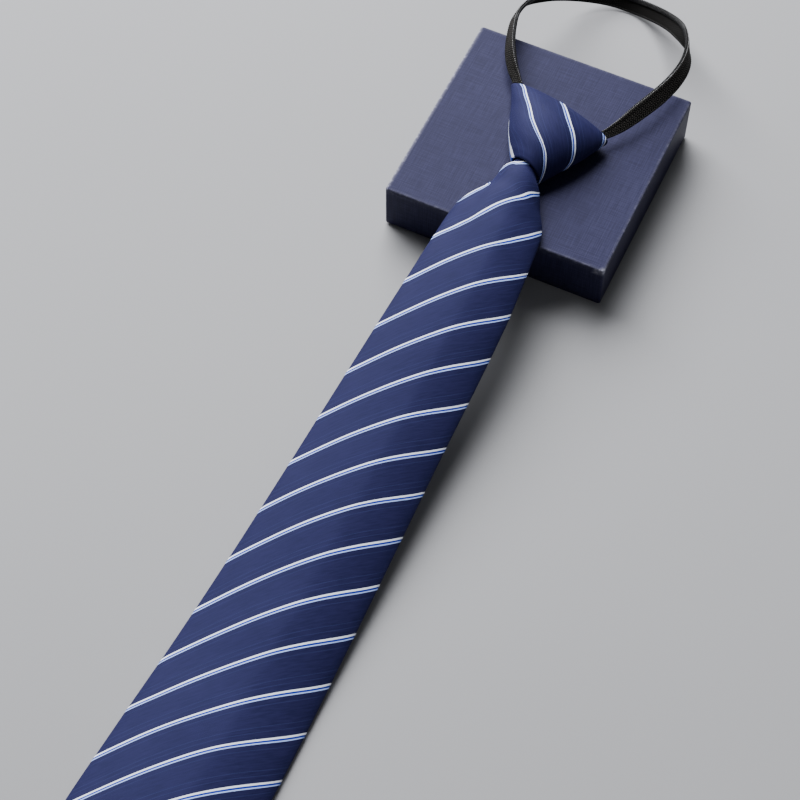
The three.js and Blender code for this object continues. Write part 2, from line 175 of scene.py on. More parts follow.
def grid_object(
    name: str, points: np.ndarray, uv: np.ndarray, wrap_rows: bool = False, wrap_columns: bool = False
) -> bpy.types.Object:
    """Makes a smooth mesh of quads from a grid of points.

    Args:
        name: The object's name.
        points: Points as rows, columns and x, y, z.
        uv: Cloth coordinates in metres, with one more row or column than the points where those wrap.
        wrap_rows: Joins the last row to the first.
        wrap_columns: Joins the last column to the first.

    Returns:
        The object, with its cloth coordinates in a UV map.
    """
    rows, columns = points.shape[:2]
    r = np.arange(rows if wrap_rows else rows - 1)
    c = np.arange(columns if wrap_columns else columns - 1)
    r, c = (grid.ravel() for grid in np.meshgrid(r, c, indexing="ij"))
    corners = [(r, c), (r + 1, c), (r + 1, c + 1), (r, c + 1)]
    faces = np.stack([(i % rows) * columns + j % columns for i, j in corners], axis=1)
    mesh = bpy.data.meshes.new(name)
    mesh.from_pydata(points.reshape(-1, 3).tolist(), [], faces.tolist())
    layer = mesh.uv_layers.new(name=UV_NAME)
    loops = np.stack([uv[i, j] for i, j in corners], axis=1)
    layer.data.foreach_set("uv", loops.astype(np.float32).ravel())
    mesh.polygons.foreach_set("use_smooth", [True] * len(mesh.polygons))
    mesh.update()
    return new_object(name, mesh)


def swept_cloth(origin: np.ndarray, section: np.ndarray) -> np.ndarray:
    """Lays cloth coordinates on a closed section that is swept along a line.

    Args:
        origin: The line.
        section: The section's points, in metres.

    Returns:
        Coordinates along the line and round the section, with one more column than its points.
    """
    round_it = run_lengths(np.concatenate([section, section[:1]]))
    u = np.repeat(run_lengths(origin)[:, None], len(round_it), axis=1)
    return np.stack([u, np.repeat(round_it[None], len(origin), axis=0)], axis=-1)


def applied(piece: bpy.types.Object) -> bpy.types.Object:
    """Turns a piece's modifiers into plain mesh.

    Args:
        piece: The piece, with its modifiers.

    Returns:
        The same piece, without modifiers.
    """
    bpy.context.view_layer.update()
    graph = bpy.context.evaluated_depsgraph_get()
    mesh = bpy.data.meshes.new_from_object(piece.evaluated_get(graph), depsgraph=graph)
    piece.modifiers.clear()
    piece.data = mesh
    mesh.name = piece.name
    return piece


def thicken(piece: bpy.types.Object, thickness: float) -> bpy.types.Object:
    """Gives a single skin a wall on its inner side.

    Args:
        piece: The piece whose mesh is a single skin.
        thickness: The wall's thickness.

    Returns:
        The same piece, with its wall as plain mesh.
    """
    wall = piece.modifiers.new("wall", "SOLIDIFY")
    wall.thickness = thickness
    wall.offset = -1.0
    return applied(piece)


def close_ends(piece: bpy.types.Object) -> None:
    """Closes the two open ends of a swept tube with a face each.

    Args:
        piece: The piece whose mesh is the tube.
    """
    work = bmesh.new()
    work.from_mesh(piece.data)
    bmesh.ops.holes_fill(work, edges=[edge for edge in work.edges if edge.is_boundary], sides=0)
    bmesh.ops.recalc_face_normals(work, faces=work.faces)
    work.to_mesh(piece.data)
    work.free()


class Graph:
    """Builds the node tree of one material."""

    def __init__(self, name: str) -> None:
        """Starts an empty material.

        Args:
            name: The material's name.
        """
        self.material = bpy.data.materials.new(name)
        self.material.use_nodes = True
        self.tree = self.material.node_tree
        self.tree.nodes.clear()

    def node(self, kind: str, **settings: object) -> bpy.types.Node:
        """Adds a node.

        Args:
            kind: The node's type.
            **settings: Properties to set on it.

        Returns:
            The node.
        """
        made = self.tree.nodes.new(kind)
        for key, value in settings.items():
            setattr(made, key, value)
        return made

    def feed(self, target: bpy.types.NodeSocket, value: object) -> None:
        """Gives an input its value.

        Args:
            target: The input.
            value: A socket to link to it, or a plain value.
        """
        if isinstance(value, bpy.types.NodeSocket):
            self.tree.links.new(value, target)
        else:
            target.default_value = value

    def math(self, operation: str, *values: object) -> bpy.types.NodeSocket:
        """Works a number out.

        Args:
            operation: The math node's operation.
            *values: Its inputs, in order.

        Returns:
            The result.
        """
        made = self.node("ShaderNodeMath", operation=operation)
        for socket, value in zip(made.inputs, values):
            self.feed(socket, value)
        return made.outputs[0]

    def plus(self, *values: object) -> bpy.types.NodeSocket:
        """Returns the sum of two or more values, added from the first to the last."""
        return functools.reduce(lambda total, value: self.math("ADD", total, value), values)

    def times(self, first: object, second: object) -> bpy.types.NodeSocket:
        """Returns the product of two values."""
        return self.math("MULTIPLY", first, second)

    def scaled(self, value: object, factor: object, shift: object) -> bpy.types.NodeSocket:
        """Returns a value times a factor, plus a shift."""
        return self.math("MULTIPLY_ADD", value, factor, shift)

    def ramp(
        self, value: object, low: float, high: float, start: float = 0.0, end: float = 1.0
    ) -> bpy.types.NodeSocket:
        """Makes a smooth step.

        Args:
            value: What the step is read by.
            low: Where it starts.
            high: Where it ends.
            start: The result up to low.
            end: The result from high on.

        Returns:
            The result.
        """
        made = self.node("ShaderNodeMapRange", interpolation_type="SMOOTHSTEP")
        limits = {"From Min": low, "From Max": high, "To Min": start, "To Max": end}
        for name, number in limits.items():
            made.inputs[name].default_value = number
        self.feed(made.inputs["Value"], value)
        return made.outputs["Result"]

    def band(self, value: object, low: float, high: float, soft: float) -> bpy.types.NodeSocket:
        """Marks a band.

        Args:
            value: What the band is read by.
            low: Its lower edge.
            high: Its upper edge.
            soft: Half the width of each soft edge.

        Returns:
            1 inside the band and 0 outside it.
        """
        rise = self.ramp(value, low - soft, low + soft)
        fall = self.ramp(value, high - soft, high + soft, 1.0, 0.0)
        return self.times(rise, fall)

    def mix(self, share: object, first: object, second: object) -> bpy.types.NodeSocket:
        """Mixes two colours.

        Args:
            share: Share of the second colour.
            first: One colour.
            second: The other colour.

        Returns:
            The mixed colour.
        """
        made = self.node("ShaderNodeMix", data_type="RGBA")
        for name, value in (("Factor", share), ("A", first), ("B", second)):
            self.feed(made.inputs[name], value)
        return made.outputs["Result"]

    def join(self, x: object, y: object, z: object = 0.0) -> bpy.types.NodeSocket:
        """Puts a vector together.

        Args:
            x: Its first value.
            y: Its second value.
            z: Its third value.

        Returns:
            The vector.
        """
        made = self.node("ShaderNodeCombineXYZ")
        for socket, value in zip(made.inputs, (x, y, z)):
            self.feed(socket, value)
        return made.outputs[0]

    def cloth(self) -> tuple[bpy.types.NodeSocket, bpy.types.NodeSocket]:
        """Reads the piece's own cloth coordinates.

        Returns:
            The two coordinates, in metres.
        """
        values = self.node("ShaderNodeSeparateXYZ")
        self.feed(values.inputs[0], self.node("ShaderNodeUVMap", uv_map=UV_NAME).outputs["UV"])
        return values.outputs[0], values.outputs[1]

    def place(self) -> bpy.types.NodeSocket:
        """Returns the Object coordinates, in metres."""
        return self.node("ShaderNodeTexCoord").outputs["Object"]

    def stored(self, name: str) -> bpy.types.NodeSocket:
        """Returns a value that the mesh stores under that name."""
        return self.node("ShaderNodeAttribute", attribute_name=name).outputs["Fac"]

    def noise(
        self, vector: object, scale: float, detail: float = 2.0, roughness: float = 0.5
    ) -> bpy.types.NodeSocket:
        """Makes a soft random pattern.

        Args:
            vector: Where it is read.
            scale: Its scale, per metre.
            detail: Number of finer layers.
            roughness: Strength of the finer layers.

        Returns:
            A value of about 0 to 1.
        """
        made = self.node("ShaderNodeTexNoise", noise_dimensions="3D")
        for name, number in (("Scale", scale), ("Detail", detail), ("Roughness", roughness)):
            made.inputs[name].default_value = number
        self.feed(made.inputs["Vector"], vector)
        return made.outputs["Fac"]

    def ribs(self, value: object, pitch: float) -> bpy.types.NodeSocket:
        """Returns a sine from 0 to 1 that repeats at each pitch of value."""
        turns = self.times(value, 2 * math.pi / pitch)
        return self.scaled(self.math("SINE", turns), 0.5, 0.5)

    def finish(
        self, color: object, roughness: object, height: object, depth: float, **constants: float | tuple
    ) -> bpy.types.Material:
        """Adds the shader and the output.

        Args:
            color: Base colour.
            roughness: Roughness.
            height: Height of the relief, from 0 to 1.
            depth: Real depth of that relief, in metres.
            **constants: Other inputs of the shader, with underscores for spaces.

        Returns:
            The material.
        """
        shader = self.node("ShaderNodeBsdfPrincipled")
        self.feed(shader.inputs["Base Color"], color)
        self.feed(shader.inputs["Roughness"], roughness)
        for name, value in constants.items():
            shader.inputs[name.replace("_", " ")].default_value = value
        relief = self.node("ShaderNodeBump")
        relief.inputs["Strength"].default_value = 1.0
        relief.inputs["Distance"].default_value = depth
        self.feed(relief.inputs["Height"], height)
        self.feed(shader.inputs["Normal"], relief.outputs["Normal"])
        output = self.node("ShaderNodeOutputMaterial")
        self.feed(output.inputs["Surface"], shader.outputs["BSDF"])
        return self.material


def rgb(red: float, green: float, blue: float) -> tuple[float, float, float, float]:
    """Returns an opaque linear colour."""
    return (red, green, blue, 1.0)


@dataclass(frozen=True)
class StripedSilk:
    """Navy satin with a repeat of two white lines and a blue line between them; the lower white line is
    tinted blue as painted shade.

    Attributes:
        name: The material's name.
        turn: Angle of the stripes, in degrees up from square to the cloth's length.
        phase: Shift of the repeat, across the stripes.
        repeat: Distance from one stripe to the next, across the stripes.
        half: Half the width of a whole stripe.
        inner_low: Lower edge of the blue line, from the stripe's middle.
        inner_high: Upper edge of the blue line.
        soft: Half the width of a line's soft edge.
        jag_pitch: Length of the small steps along a line's edge.
        jag: Depth of those steps.
        dotted_rows: Lower edges of the faint dotted rows, from the stripe's middle.
        dotted_width: Width of a dotted row.
        dotted_soft: Half the width of its soft edge.
        dot_pitch: Distance from one of its dots to the next.
        twill_pitch: Pitch of the satin's twill.
        fine_pitch: Pitch of the threads in the white lines.
        twill_show: Strength of the twill in the ground.
        dotted_show: Strength of the dotted rows in the ground.
        fine_show: Strength of the threads in the white lines.
        shade_tint_end: Where the lower white line's painted blue shade starts to fade, from the stripe's
            middle.
        streak_scale: Scale of the streaks across the stripes, per metre.
        streak_stretch: Their scale along the stripes, as a share of that.
        cloud_scale: Scale of the wide, faint clouds, per metre.
        depth: Real depth of the weave.
        navy: Lighter ground.
        navy_deep: Darker ground.
        thread: Lighter threads in the ground and darker ones in the white lines.
        white: Upper white line.
        lower: Lower white line, tinted blue as painted shade.
        blue: Blue line.
    """

    name: str
    turn: float
    phase: float
    repeat: float
    half: float = 1.1 * MM
    inner_low: float = -0.55 * MM
    inner_high: float = 0.25 * MM
    soft: float = 0.07 * MM
    jag_pitch: float = 0.62 * MM
    jag: float = 0.09 * MM
    dotted_rows: tuple[float, ...] = (-3.6 * MM, 3.9 * MM, 6.1 * MM)
    dotted_width: float = 0.28 * MM
    dotted_soft: float = 0.08 * MM
    dot_pitch: float = 0.8 * MM
    twill_pitch: float = 0.75 * MM
    fine_pitch: float = 0.30 * MM
    twill_show: float = 0.05
    dotted_show: float = 0.28
    fine_show: float = 0.12
    shade_tint_end: float = -0.3 * MM
    streak_scale: float = 1300.0
    streak_stretch: float = 0.1
    cloud_scale: float = 60.0
    depth: float = 0.07 * MM
    navy: tuple = rgb(0.0140, 0.0138, 0.052)
    navy_deep: tuple = rgb(0.0085, 0.0088, 0.035)
    thread: tuple = rgb(0.05, 0.065, 0.19)
    white: tuple = rgb(0.88, 0.92, 1.0)
    lower: tuple = rgb(0.42, 0.55, 1.0)
    blue: tuple = rgb(0.005, 0.025, 0.29)

    def build(self) -> bpy.types.Material:
        """Makes the silk, on a graph whose cloth coordinates are across and along the cloth.

        Returns:
            The material.
        """
        g = Graph(self.name)
        across, along = g.cloth()
        cosine = math.cos(math.radians(self.turn))
        sine = math.sin(math.radians(self.turn))
        climb = g.math("SUBTRACT", g.times(along, cosine), g.times(across, sine))
        with_stripe = g.plus(g.times(along, sine), g.times(across, cosine))
        jagged = g.scaled(g.ribs(with_stripe, self.jag_pitch), self.jag, -self.jag / 2)
        shifted = g.plus(climb, self.phase + self.repeat / 2, jagged)
        turns = g.math("FRACT", g.math("DIVIDE", shifted, self.repeat))
        off = g.times(g.math("SUBTRACT", turns, 0.5), self.repeat)
        whole = g.band(off, -self.half, self.half, self.soft)
        inner = g.band(off, self.inner_low, self.inner_high, self.soft)
        streaks = g.noise(g.join(g.times(with_stripe, self.streak_stretch), climb), self.streak_scale)
        clouds = g.noise(g.join(across, along), self.cloud_scale)
        twill = g.ribs(g.plus(climb, g.times(with_stripe, 2.0)), self.twill_pitch)
        tone = g.plus(g.times(streaks, 0.75), g.times(clouds, 0.25))
        ground = g.mix(g.ramp(tone, 0.25, 0.7), self.navy_deep, self.navy)
        ground = g.mix(g.times(twill, self.twill_show), ground, self.thread)
        dotted = self.dotted(g, off, with_stripe)
        ground = g.mix(g.times(dotted, self.dotted_show), ground, self.thread)
        # The lower white line gets a painted blue shade tint.
        lines = g.mix(g.ramp(off, self.shade_tint_end, 0.0), self.lower, self.white)
        fine = g.ribs(climb, self.fine_pitch)
        lines = g.mix(g.times(fine, self.fine_show), lines, self.thread)
        color = g.mix(whole, ground, g.mix(inner, lines, self.blue))
        raised = g.math("SUBTRACT", whole, g.times(inner, 0.6))
        relief = g.plus(g.times(twill, 0.35), g.times(streaks, 0.45), g.times(raised, 0.6))
        return g.finish(
            color,
            g.scaled(streaks, 0.14, 0.48),
            relief,
            self.depth,
            Sheen_Weight=0.04,
            Sheen_Roughness=0.5,
            Sheen_Tint=rgb(0.25, 0.28, 0.9),
            Specular_IOR_Level=0.12,
            Specular_Tint=rgb(0.33, 0.37, 0.88),
        )

    def dotted(
        self, g: Graph, off: bpy.types.NodeSocket, with_stripe: bpy.types.NodeSocket
    ) -> bpy.types.NodeSocket:
        """Marks the faint dotted rows between the stripes.

        Args:
            g: The graph of the silk.
            off: Distance from the nearest stripe's middle.
            with_stripe: Distance along the stripes.

        Returns:
            How strong the dotted rows are.
        """
        rows = [g.band(off, low, low + self.dotted_width, self.dotted_soft) for low in self.dotted_rows]
        return g.times(g.plus(*rows), g.scaled(g.ribs(with_stripe, self.dot_pitch), 0.7, 0.3))


@dataclass(frozen=True)
class LinenPaper:
    """Navy covering paper with a crossed linen grain and lighter edges: rubbed in places, with a painted
    highlight along them that is strongest on the left.

    Attributes:
        name: The material's name.
        pitch: Pitch of the grain's even threads.
        thread_scale: Scale of the uneven threads across themselves, per metre.
        thread_stretch: Their scale along themselves, as a share of that.
        cloud_scale: Scale of the wide, faint clouds, per metre.
        scuff_scale: Scale of the scuffs on the edges, per metre.
        depth: Real depth of the grain.
        base: Lighter colour.
        deep: Darker colour.
        rubbed_and_lit_edge: Colour of the rubbed edges and of the painted highlight along them.
    """

    name: str = "navy linen paper"
    pitch: float = 1.1 * MM
    thread_scale: float = 1600.0
    thread_stretch: float = 0.045
    cloud_scale: float = 25.0
    scuff_scale: float = 420.0
    depth: float = 0.07 * MM
    base: tuple = rgb(0.0285, 0.0285, 0.067)
    deep: tuple = rgb(0.0145, 0.0145, 0.038)
    rubbed_and_lit_edge: tuple = rgb(0.42, 0.42, 0.50)

    def build(self) -> bpy.types.Material:
        """Makes the paper.

        Returns:
            The material, which reads the stored values edge, for wear and a painted highlight, and nick.
        """
        g = Graph(self.name)
        u, v = g.cloth()
        warp = g.noise(g.join(g.times(u, self.thread_stretch), v), self.thread_scale)
        weft = g.noise(g.join(u, g.times(v, self.thread_stretch)), self.thread_scale)
        threads = g.plus(g.ribs(u, self.pitch), g.ribs(v, self.pitch))
        linen = g.plus(warp, weft, g.times(threads, 0.12))
        clouds = g.noise(g.join(u, v), self.cloud_scale, 3.0)
        color = g.mix(g.ramp(g.scaled(clouds, 0.35, linen), 1.0, 1.75), self.deep, self.base)
        scuffs = g.ramp(g.noise(g.place(), self.scuff_scale, 4.0, 0.65), 0.47, 0.66)
        # Upper edges lightened by scuffed wear and by a steady painted highlight.
        wear_and_highlight = g.times(g.stored("edge"), g.scaled(scuffs, 0.45, 0.3))
        dented = g.times(g.stored("nick"), g.ramp(scuffs, 0.0, 0.4, 0.5, 1.0))
        color = g.mix(g.math("MAXIMUM", wear_and_highlight, dented), color, self.rubbed_and_lit_edge)
        rough = g.scaled(linen, 0.06, 0.42)
        shine = {"Specular_IOR_Level": 0.09, "Specular_Tint": rgb(0.6, 0.6, 0.88)}
        return g.finish(color, rough, linen, self.depth, **shine)


@dataclass(frozen=True)
class WovenTape:
    """Black polyester zip tape, with a fine twill face and lighter threads, and painted shade on its
    inner face.

    Attributes:
        name: The material's name.
        pitch: Pitch of the twill along the tape.
        zigzag: Width of one leg of the twill's zigzag.
        speck_scale: Scale of the uneven threads, per metre.
        inner_shade_from: Where the painted shade of the inner face starts, across the tape from its outer
            edge.
        inner_shade_to: Where that painted shade is whole.
        inner_shade_tone: Strength of the lighter threads on the shaded inner face.
        depth: Real depth of the weave.
        dark: Ground colour.
        light: Colour of the lighter threads.
    """

    name: str = "black woven tape"
    pitch: float = 1.4 * MM
    zigzag: float = 1.4 * MM
    speck_scale: float = 1400.0
    inner_shade_from: float = 9.8 * MM
    inner_shade_to: float = 9.2 * MM
    inner_shade_tone: float = 0.25
    depth: float = 0.12 * MM
    dark: tuple = rgb(0.0010, 0.0010, 0.0010)
    light: tuple = rgb(0.085, 0.079, 0.074)

    def build(self) -> bpy.types.Material:
        """Makes the woven tape.

        Returns:
            The material.
        """
        g = Graph(self.name)
        along, across = g.cloth()
        twill = g.ribs(g.plus(along, g.math("PINGPONG", across, self.zigzag)), self.pitch)
        cross = g.ribs(g.math("SUBTRACT", across, g.times(along, 0.2)), self.pitch * 0.8)
        specks = g.noise(g.join(along, g.times(across, 2.0)), self.speck_scale)
        weave = g.times(g.ramp(twill, 0.3, 0.8), g.scaled(cross, 0.8, 0.2))
        tone = g.times(weave, g.ramp(specks, 0.2, 0.6))
        # The inner face gets painted shade: fewer lighter threads there.
        shown = g.ramp(across, self.inner_shade_to, self.inner_shade_from, self.inner_shade_tone, 1.0)
        color = g.mix(g.times(tone, shown), self.dark, self.light)
        rough = g.scaled(specks, 0.2, 0.6)
        return g.finish(color, rough, g.scaled(specks, 0.4, weave), self.depth, Specular_IOR_Level=0.04)


@dataclass(frozen=True)
class Speckled:
    """A nearly plain finish with fine mottling, for coil, thread and metal.

    Attributes:
        name: The material's name.
        dark: Darker colour.
        light: Lighter colour.
        roughness: Middle roughness.
        metallic: 1 for bare metal.
        scale: Scale of the mottling, per metre.
        depth: Real depth of the mottling.
    """

    name: str
    dark: tuple
    light: tuple
    roughness: float
    metallic: float = 0.0
    scale: float = 900.0
    depth: float = 0.02 * MM

    def build(self) -> bpy.types.Material:
        """Makes the finish.

        Returns:
            The material.
        """
        g = Graph(self.name)
        mottle = g.noise(g.place(), self.scale, 3.0)
        color = g.mix(g.ramp(mottle, 0.35, 0.65), self.dark, self.light)
        rough = g.scaled(mottle, 0.2, self.roughness - 0.1)
        return g.finish(color, rough, mottle, self.depth, Metallic=self.metallic, Specular_IOR_Level=0.2)


@dataclass(frozen=True)
class Finishes:
    """Every material of the object, made once.

    Attributes:
        blade_silk: Silk of the blade.
        knot_silk: The same silk, with the knot's own angle.
        paper: Covering paper of the box.
        tape: Zip tape.
        coil: Nylon coil.
        thread: Sewing thread of the tape's seam.
        glint_thread: Lighter thread of the dots along the band's teeth edge, a painted glint of light on
            the teeth heads.
        metal: Lacquered metal of the slider.
    """

    blade_silk: bpy.types.Material
    knot_silk: bpy.types.Material
    paper: bpy.types.Material
    tape: bpy.types.Material
    coil: bpy.types.Material
    thread: bpy.types.Material
    glint_thread: bpy.types.Material
    metal: bpy.types.Material

    @staticmethod
    def make() -> Finishes:
        """Makes all the materials.

        Returns:
            The finishes.
        """
        coil = Speckled("black nylon coil", rgb(0.012, 0.012, 0.0125), rgb(0.036, 0.036, 0.037), 0.45)
        thread = Speckled("black sewing thread", rgb(0.001, 0.001, 0.001), rgb(0.004, 0.004, 0.004), 0.6)
        # Light dots on the teeth edge: a painted glint of light on the teeth heads.
        glint_thread = Speckled("painted glint thread", rgb(0.12, 0.12, 0.122), rgb(0.34, 0.34, 0.345), 0.5)
        zinc = (rgb(0.015, 0.015, 0.017), rgb(0.04, 0.04, 0.045))
        return Finishes(
            blade_silk=StripedSilk("striped navy silk", 44.3, 2.1 * MM, 18.66 * MM).build(),
            knot_silk=StripedSilk("striped navy silk of the knot", -45.1, -10.2 * MM, 19.68 * MM).build(),
            paper=LinenPaper().build(),
            tape=WovenTape().build(),
            coil=coil.build(),
            thread=thread.build(),
            glint_thread=glint_thread.build(),
            metal=Speckled("black lacquered zinc", *zinc, roughness=0.35, metallic=0.6).build(),
        )


def dress(
    piece: bpy.types.Object, material: bpy.types.Material, replaced: tuple[str, ...] = ()
) -> bpy.types.Object:
    """Gives a finished piece its material, its body and the nodes that it stands for.

    Args:
        piece: The finished piece.
        material: Its material.
        replaced: Names of the nodes that it replaces.

    Returns:
        The piece.
    """
    piece.data.materials.clear()
    piece.data.materials.append(material)
    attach(piece, BODY)
    if replaced:
        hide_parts(*replaced)
    triangles = sum(len(face.vertices) - 2 for face in piece.data.polygons)
    LOG.info("%s: %d triangles", piece.name, triangles)
    return piece


@dataclass
class GiftBox:
    """A flat square box: a lid of full depth over a tray, both of board covered with paper.

    Attributes:
        side: Side of the lid.
        height: Height of the closed box.
        board: Thickness of the covered board.
        fit: Gap between lid and tray.
        lid_lift: Height of the lid's rim over the table.
        corner_radius: Radius of the lid's upright edges.
        edge_radius: Radius of its upper edges.
        inner_radius: Radius of its upright edges inside.
        rim: Rounding of the lid's rim.
        hub: Width left out round the closing face of an end.
        corner_steps: Steps round a corner.
        straight_steps: Steps along a straight side.
        wall_steps: Rings up the lid's outside.
        edge_steps: Rings round its upper edge.
        top_insets: Distances in from the side of the rings on the lid's top.
        tray_rounding: Rounding of the tray's edges.
        tray_radius: Radius of its upright edges.
        tray_inner_radius: Radius of its upright edges inside.
        rim_radius: Radius of the rings on the rims.
        hub_radius: Radius of the closing faces' corners.
        edge_wear_and_highlight: Distances from an upper edge where its wear and painted highlight start
            to fade and are gone.
        nick_wear: Distances from the nicked corner where its wear starts to fade and is gone.
    """

    side: float = 120 * MM
    height: float = 29 * MM
    board: float = 1.8 * MM
    fit: float = 0.5 * MM
    lid_lift: float = 0.8 * MM
    corner_radius: float = 1.2 * MM
    edge_radius: float = 0.9 * MM
    inner_radius: float = 0.3 * MM
    rim: float = 0.3 * MM
    hub: float = 60 * MM
    corner_steps: int = 8
    straight_steps: int = 20
    wall_steps: int = 8
    edge_steps: int = 6
    top_insets: tuple[float, ...] = (2 * MM, 4 * MM, 9 * MM, 20 * MM, 35 * MM, 50 * MM)
    tray_rounding: float = 0.3 * MM
    tray_radius: float = 0.6 * MM
    tray_inner_radius: float = 0.4 * MM
    rim_radius: float = 0.5 * MM
    hub_radius: float = 1 * MM
    edge_wear_and_highlight: tuple[float, float] = (0.45 * MM, 1.3 * MM)
    nick_wear: tuple[float, float] = (0.7 * MM, 2.6 * MM)

    def ring(self, side: float, radius: float, z: float) -> np.ndarray:
        """Lays a level ring of points round a square with rounded corners.

        Args:
            side: The square's side.
            radius: Its corners' radius.
            z: The ring's height.

        Returns:
            The points.
        """
        half = side / 2 - radius
        quarters = np.array([[1, 1], [-1, 1], [-1, -1], [1, -1]]) * half
        points = []
        for turn in range(4):
            angles = np.linspace(0, math.pi / 2, self.corner_steps + 1) + turn * math.pi / 2
            arc = quarters[turn] + radius * np.stack([np.cos(angles), np.sin(angles)], axis=1)
            last = np.array([math.cos(angles[-1]), math.sin(angles[-1])])
            start = quarters[(turn + 1) % 4] + radius * last
            shares = np.linspace(0, 1, self.straight_steps + 1)[1:-1, None]
            points.append(np.concatenate([arc, arc[-1] * (1 - shares) + start * shares]))
        flat = np.concatenate(points)
        return np.concatenate([flat, np.full((len(flat), 1), z)], axis=1)

    def shell(self, name: str, rings: list[np.ndarray]) -> bpy.types.Object:
        """Makes a closed mesh through rings, with a flat face at each end.

        Args:
            name: The object's name.
            rings: The rings, each with as many points as the others.

        Returns:
            The object, with cloth coordinates laid flat on each side of the box.
        """
        count = len(rings[0])
        here = np.arange(count)
        following = (here + 1) % count
        faces = []
        for n in range(len(rings) - 1):
            low = n * count
            high = low + count
            corners = [low + here, low + following, high + following, high + here]
            faces += np.stack(corners, axis=1).tolist()
        last = (len(rings) - 1) * count
        faces.append(list(reversed(range(count))))
        faces.append(list(range(last, last + count)))
        mesh = bpy.data.meshes.new(name)
        mesh.from_pydata(np.concatenate(rings).tolist(), [], faces)
        mesh.polygons.foreach_set("use_smooth", [True] * len(faces))
        layer = mesh.uv_layers.new(name=UV_NAME)
        for face in mesh.polygons:
            x, y, z = (abs(value) for value in face.normal)
            u, v = (0, 1) if z > max(x, y) else (1, 2) if x > y else (0, 2)
            for loop in face.loop_indices:
                place = mesh.vertices[mesh.loops[loop].vertex_index].co
                layer.data[loop].uv = (place[u], place[v])
        return new_object(name, mesh)

    def mark_edges(self, lid: bpy.types.Object) -> None:
        """Stores how worn each of the lid's vertices is, along its upper edges and in one corner, with a
        painted highlight on the upper edges that is strongest on the left side.

        Args:
            lid: The lid, which gets the values edge, for wear and painted highlight, and nick.
        """
        mesh = lid.data
        places = np.array([vertex.co for vertex in mesh.vertices])
        from_side = (self.side / 2 - np.abs(places[:, :2])).min(axis=1)
        from_edge = np.hypot(from_side, self.height - places[:, 2])
        # The left upper edges, facing the light, get a stronger painted highlight.
        highlight_on_left = places[:, 0] < -0.49 * self.side
        edge = (1 - smoothstep(*self.edge_wear_and_highlight, from_edge)) * (0.25 + 0.65 * highlight_on_left)
        corner = np.array([self.side / 2, -self.side / 2, self.height])
        nick = 1 - smoothstep(*self.nick_wear, np.linalg.norm(places - corner, axis=1))
        for name, values in (("edge", edge), ("nick", nick)):
            stored = mesh.attributes.new(name, "FLOAT", "POINT")
            stored.data.foreach_set("value", values.astype(np.float32))

    def lid(self) -> bpy.types.Object:
        """Makes the lid as one skin, from the middle of its ceiling over its rim to its top.

        Returns:
            The lid.
        """
        inside = self.side - 2 * self.board
        ceiling = self.height - self.board
        upright = self.lid_lift + self.rim
        shoulder = self.height - self.edge_radius
        rings = [self.ring(inside - self.hub, self.hub_radius, ceiling)]
        rings += [self.ring(inside, self.inner_radius, z) for z in (ceiling, ceiling / 2, upright)]
        rings.append(self.ring(inside + 2 * self.rim, self.rim_radius, self.lid_lift))
        rings.append(self.ring(self.side - 2 * self.rim, self.corner_radius - self.rim, self.lid_lift))
        for z in np.linspace(upright, shoulder, self.wall_steps):
            rings.append(self.ring(self.side, self.corner_radius, z))
        for angle in np.linspace(0, math.pi / 2, self.edge_steps + 1)[1:]:
            inset = self.edge_radius * (1 - math.cos(angle))
            z = shoulder + self.edge_radius * math.sin(angle)
            rings.append(self.ring(self.side - 2 * inset, self.corner_radius, z))
        for inset in self.top_insets:
            rings.append(self.ring(self.side - 2 * inset, self.corner_radius, self.height))
        return self.shell("box_lid", rings)

    def tray(self) -> bpy.types.Object:
        """Makes the tray as one skin, from its underside over its rim to its floor inside.

        Returns:
            The tray.
        """
        outside = self.side - 2 * self.board - 2 * self.fit
        inside = outside - 2 * self.board
        rim = self.height - self.board - GAP
        rounding = self.tray_rounding
        outer_flat = outside - 2 * rounding
        inner_flat = inside + 2 * rounding
        rings = [self.ring(outside - self.hub, self.hub_radius, 0)]
        rings.append(self.ring(outer_flat, self.rim_radius, 0))
        rings += [self.ring(outside, self.tray_radius, z) for z in (rounding, rim / 2, rim - rounding)]
        rings += [self.ring(side, self.rim_radius, rim) for side in (outer_flat, inner_flat)]
        for z in (rim - rounding, rim / 2, self.board):
            rings.append(self.ring(inside, self.tray_inner_radius, z))
        rings.append(self.ring(inside - self.hub, self.hub_radius, self.board))
        return self.shell("box_tray", rings)

    def build(self, finishes: Finishes) -> None:
        """Builds and dresses the lid and the tray.

        Args:
            finishes: The object's finishes.
        """
        lid = self.lid()
        self.mark_edges(lid)
        dress(lid, finishes.paper, ("gift_box_lid",))
        dress(self.tray(), finishes.paper, ("gift_box_base",))


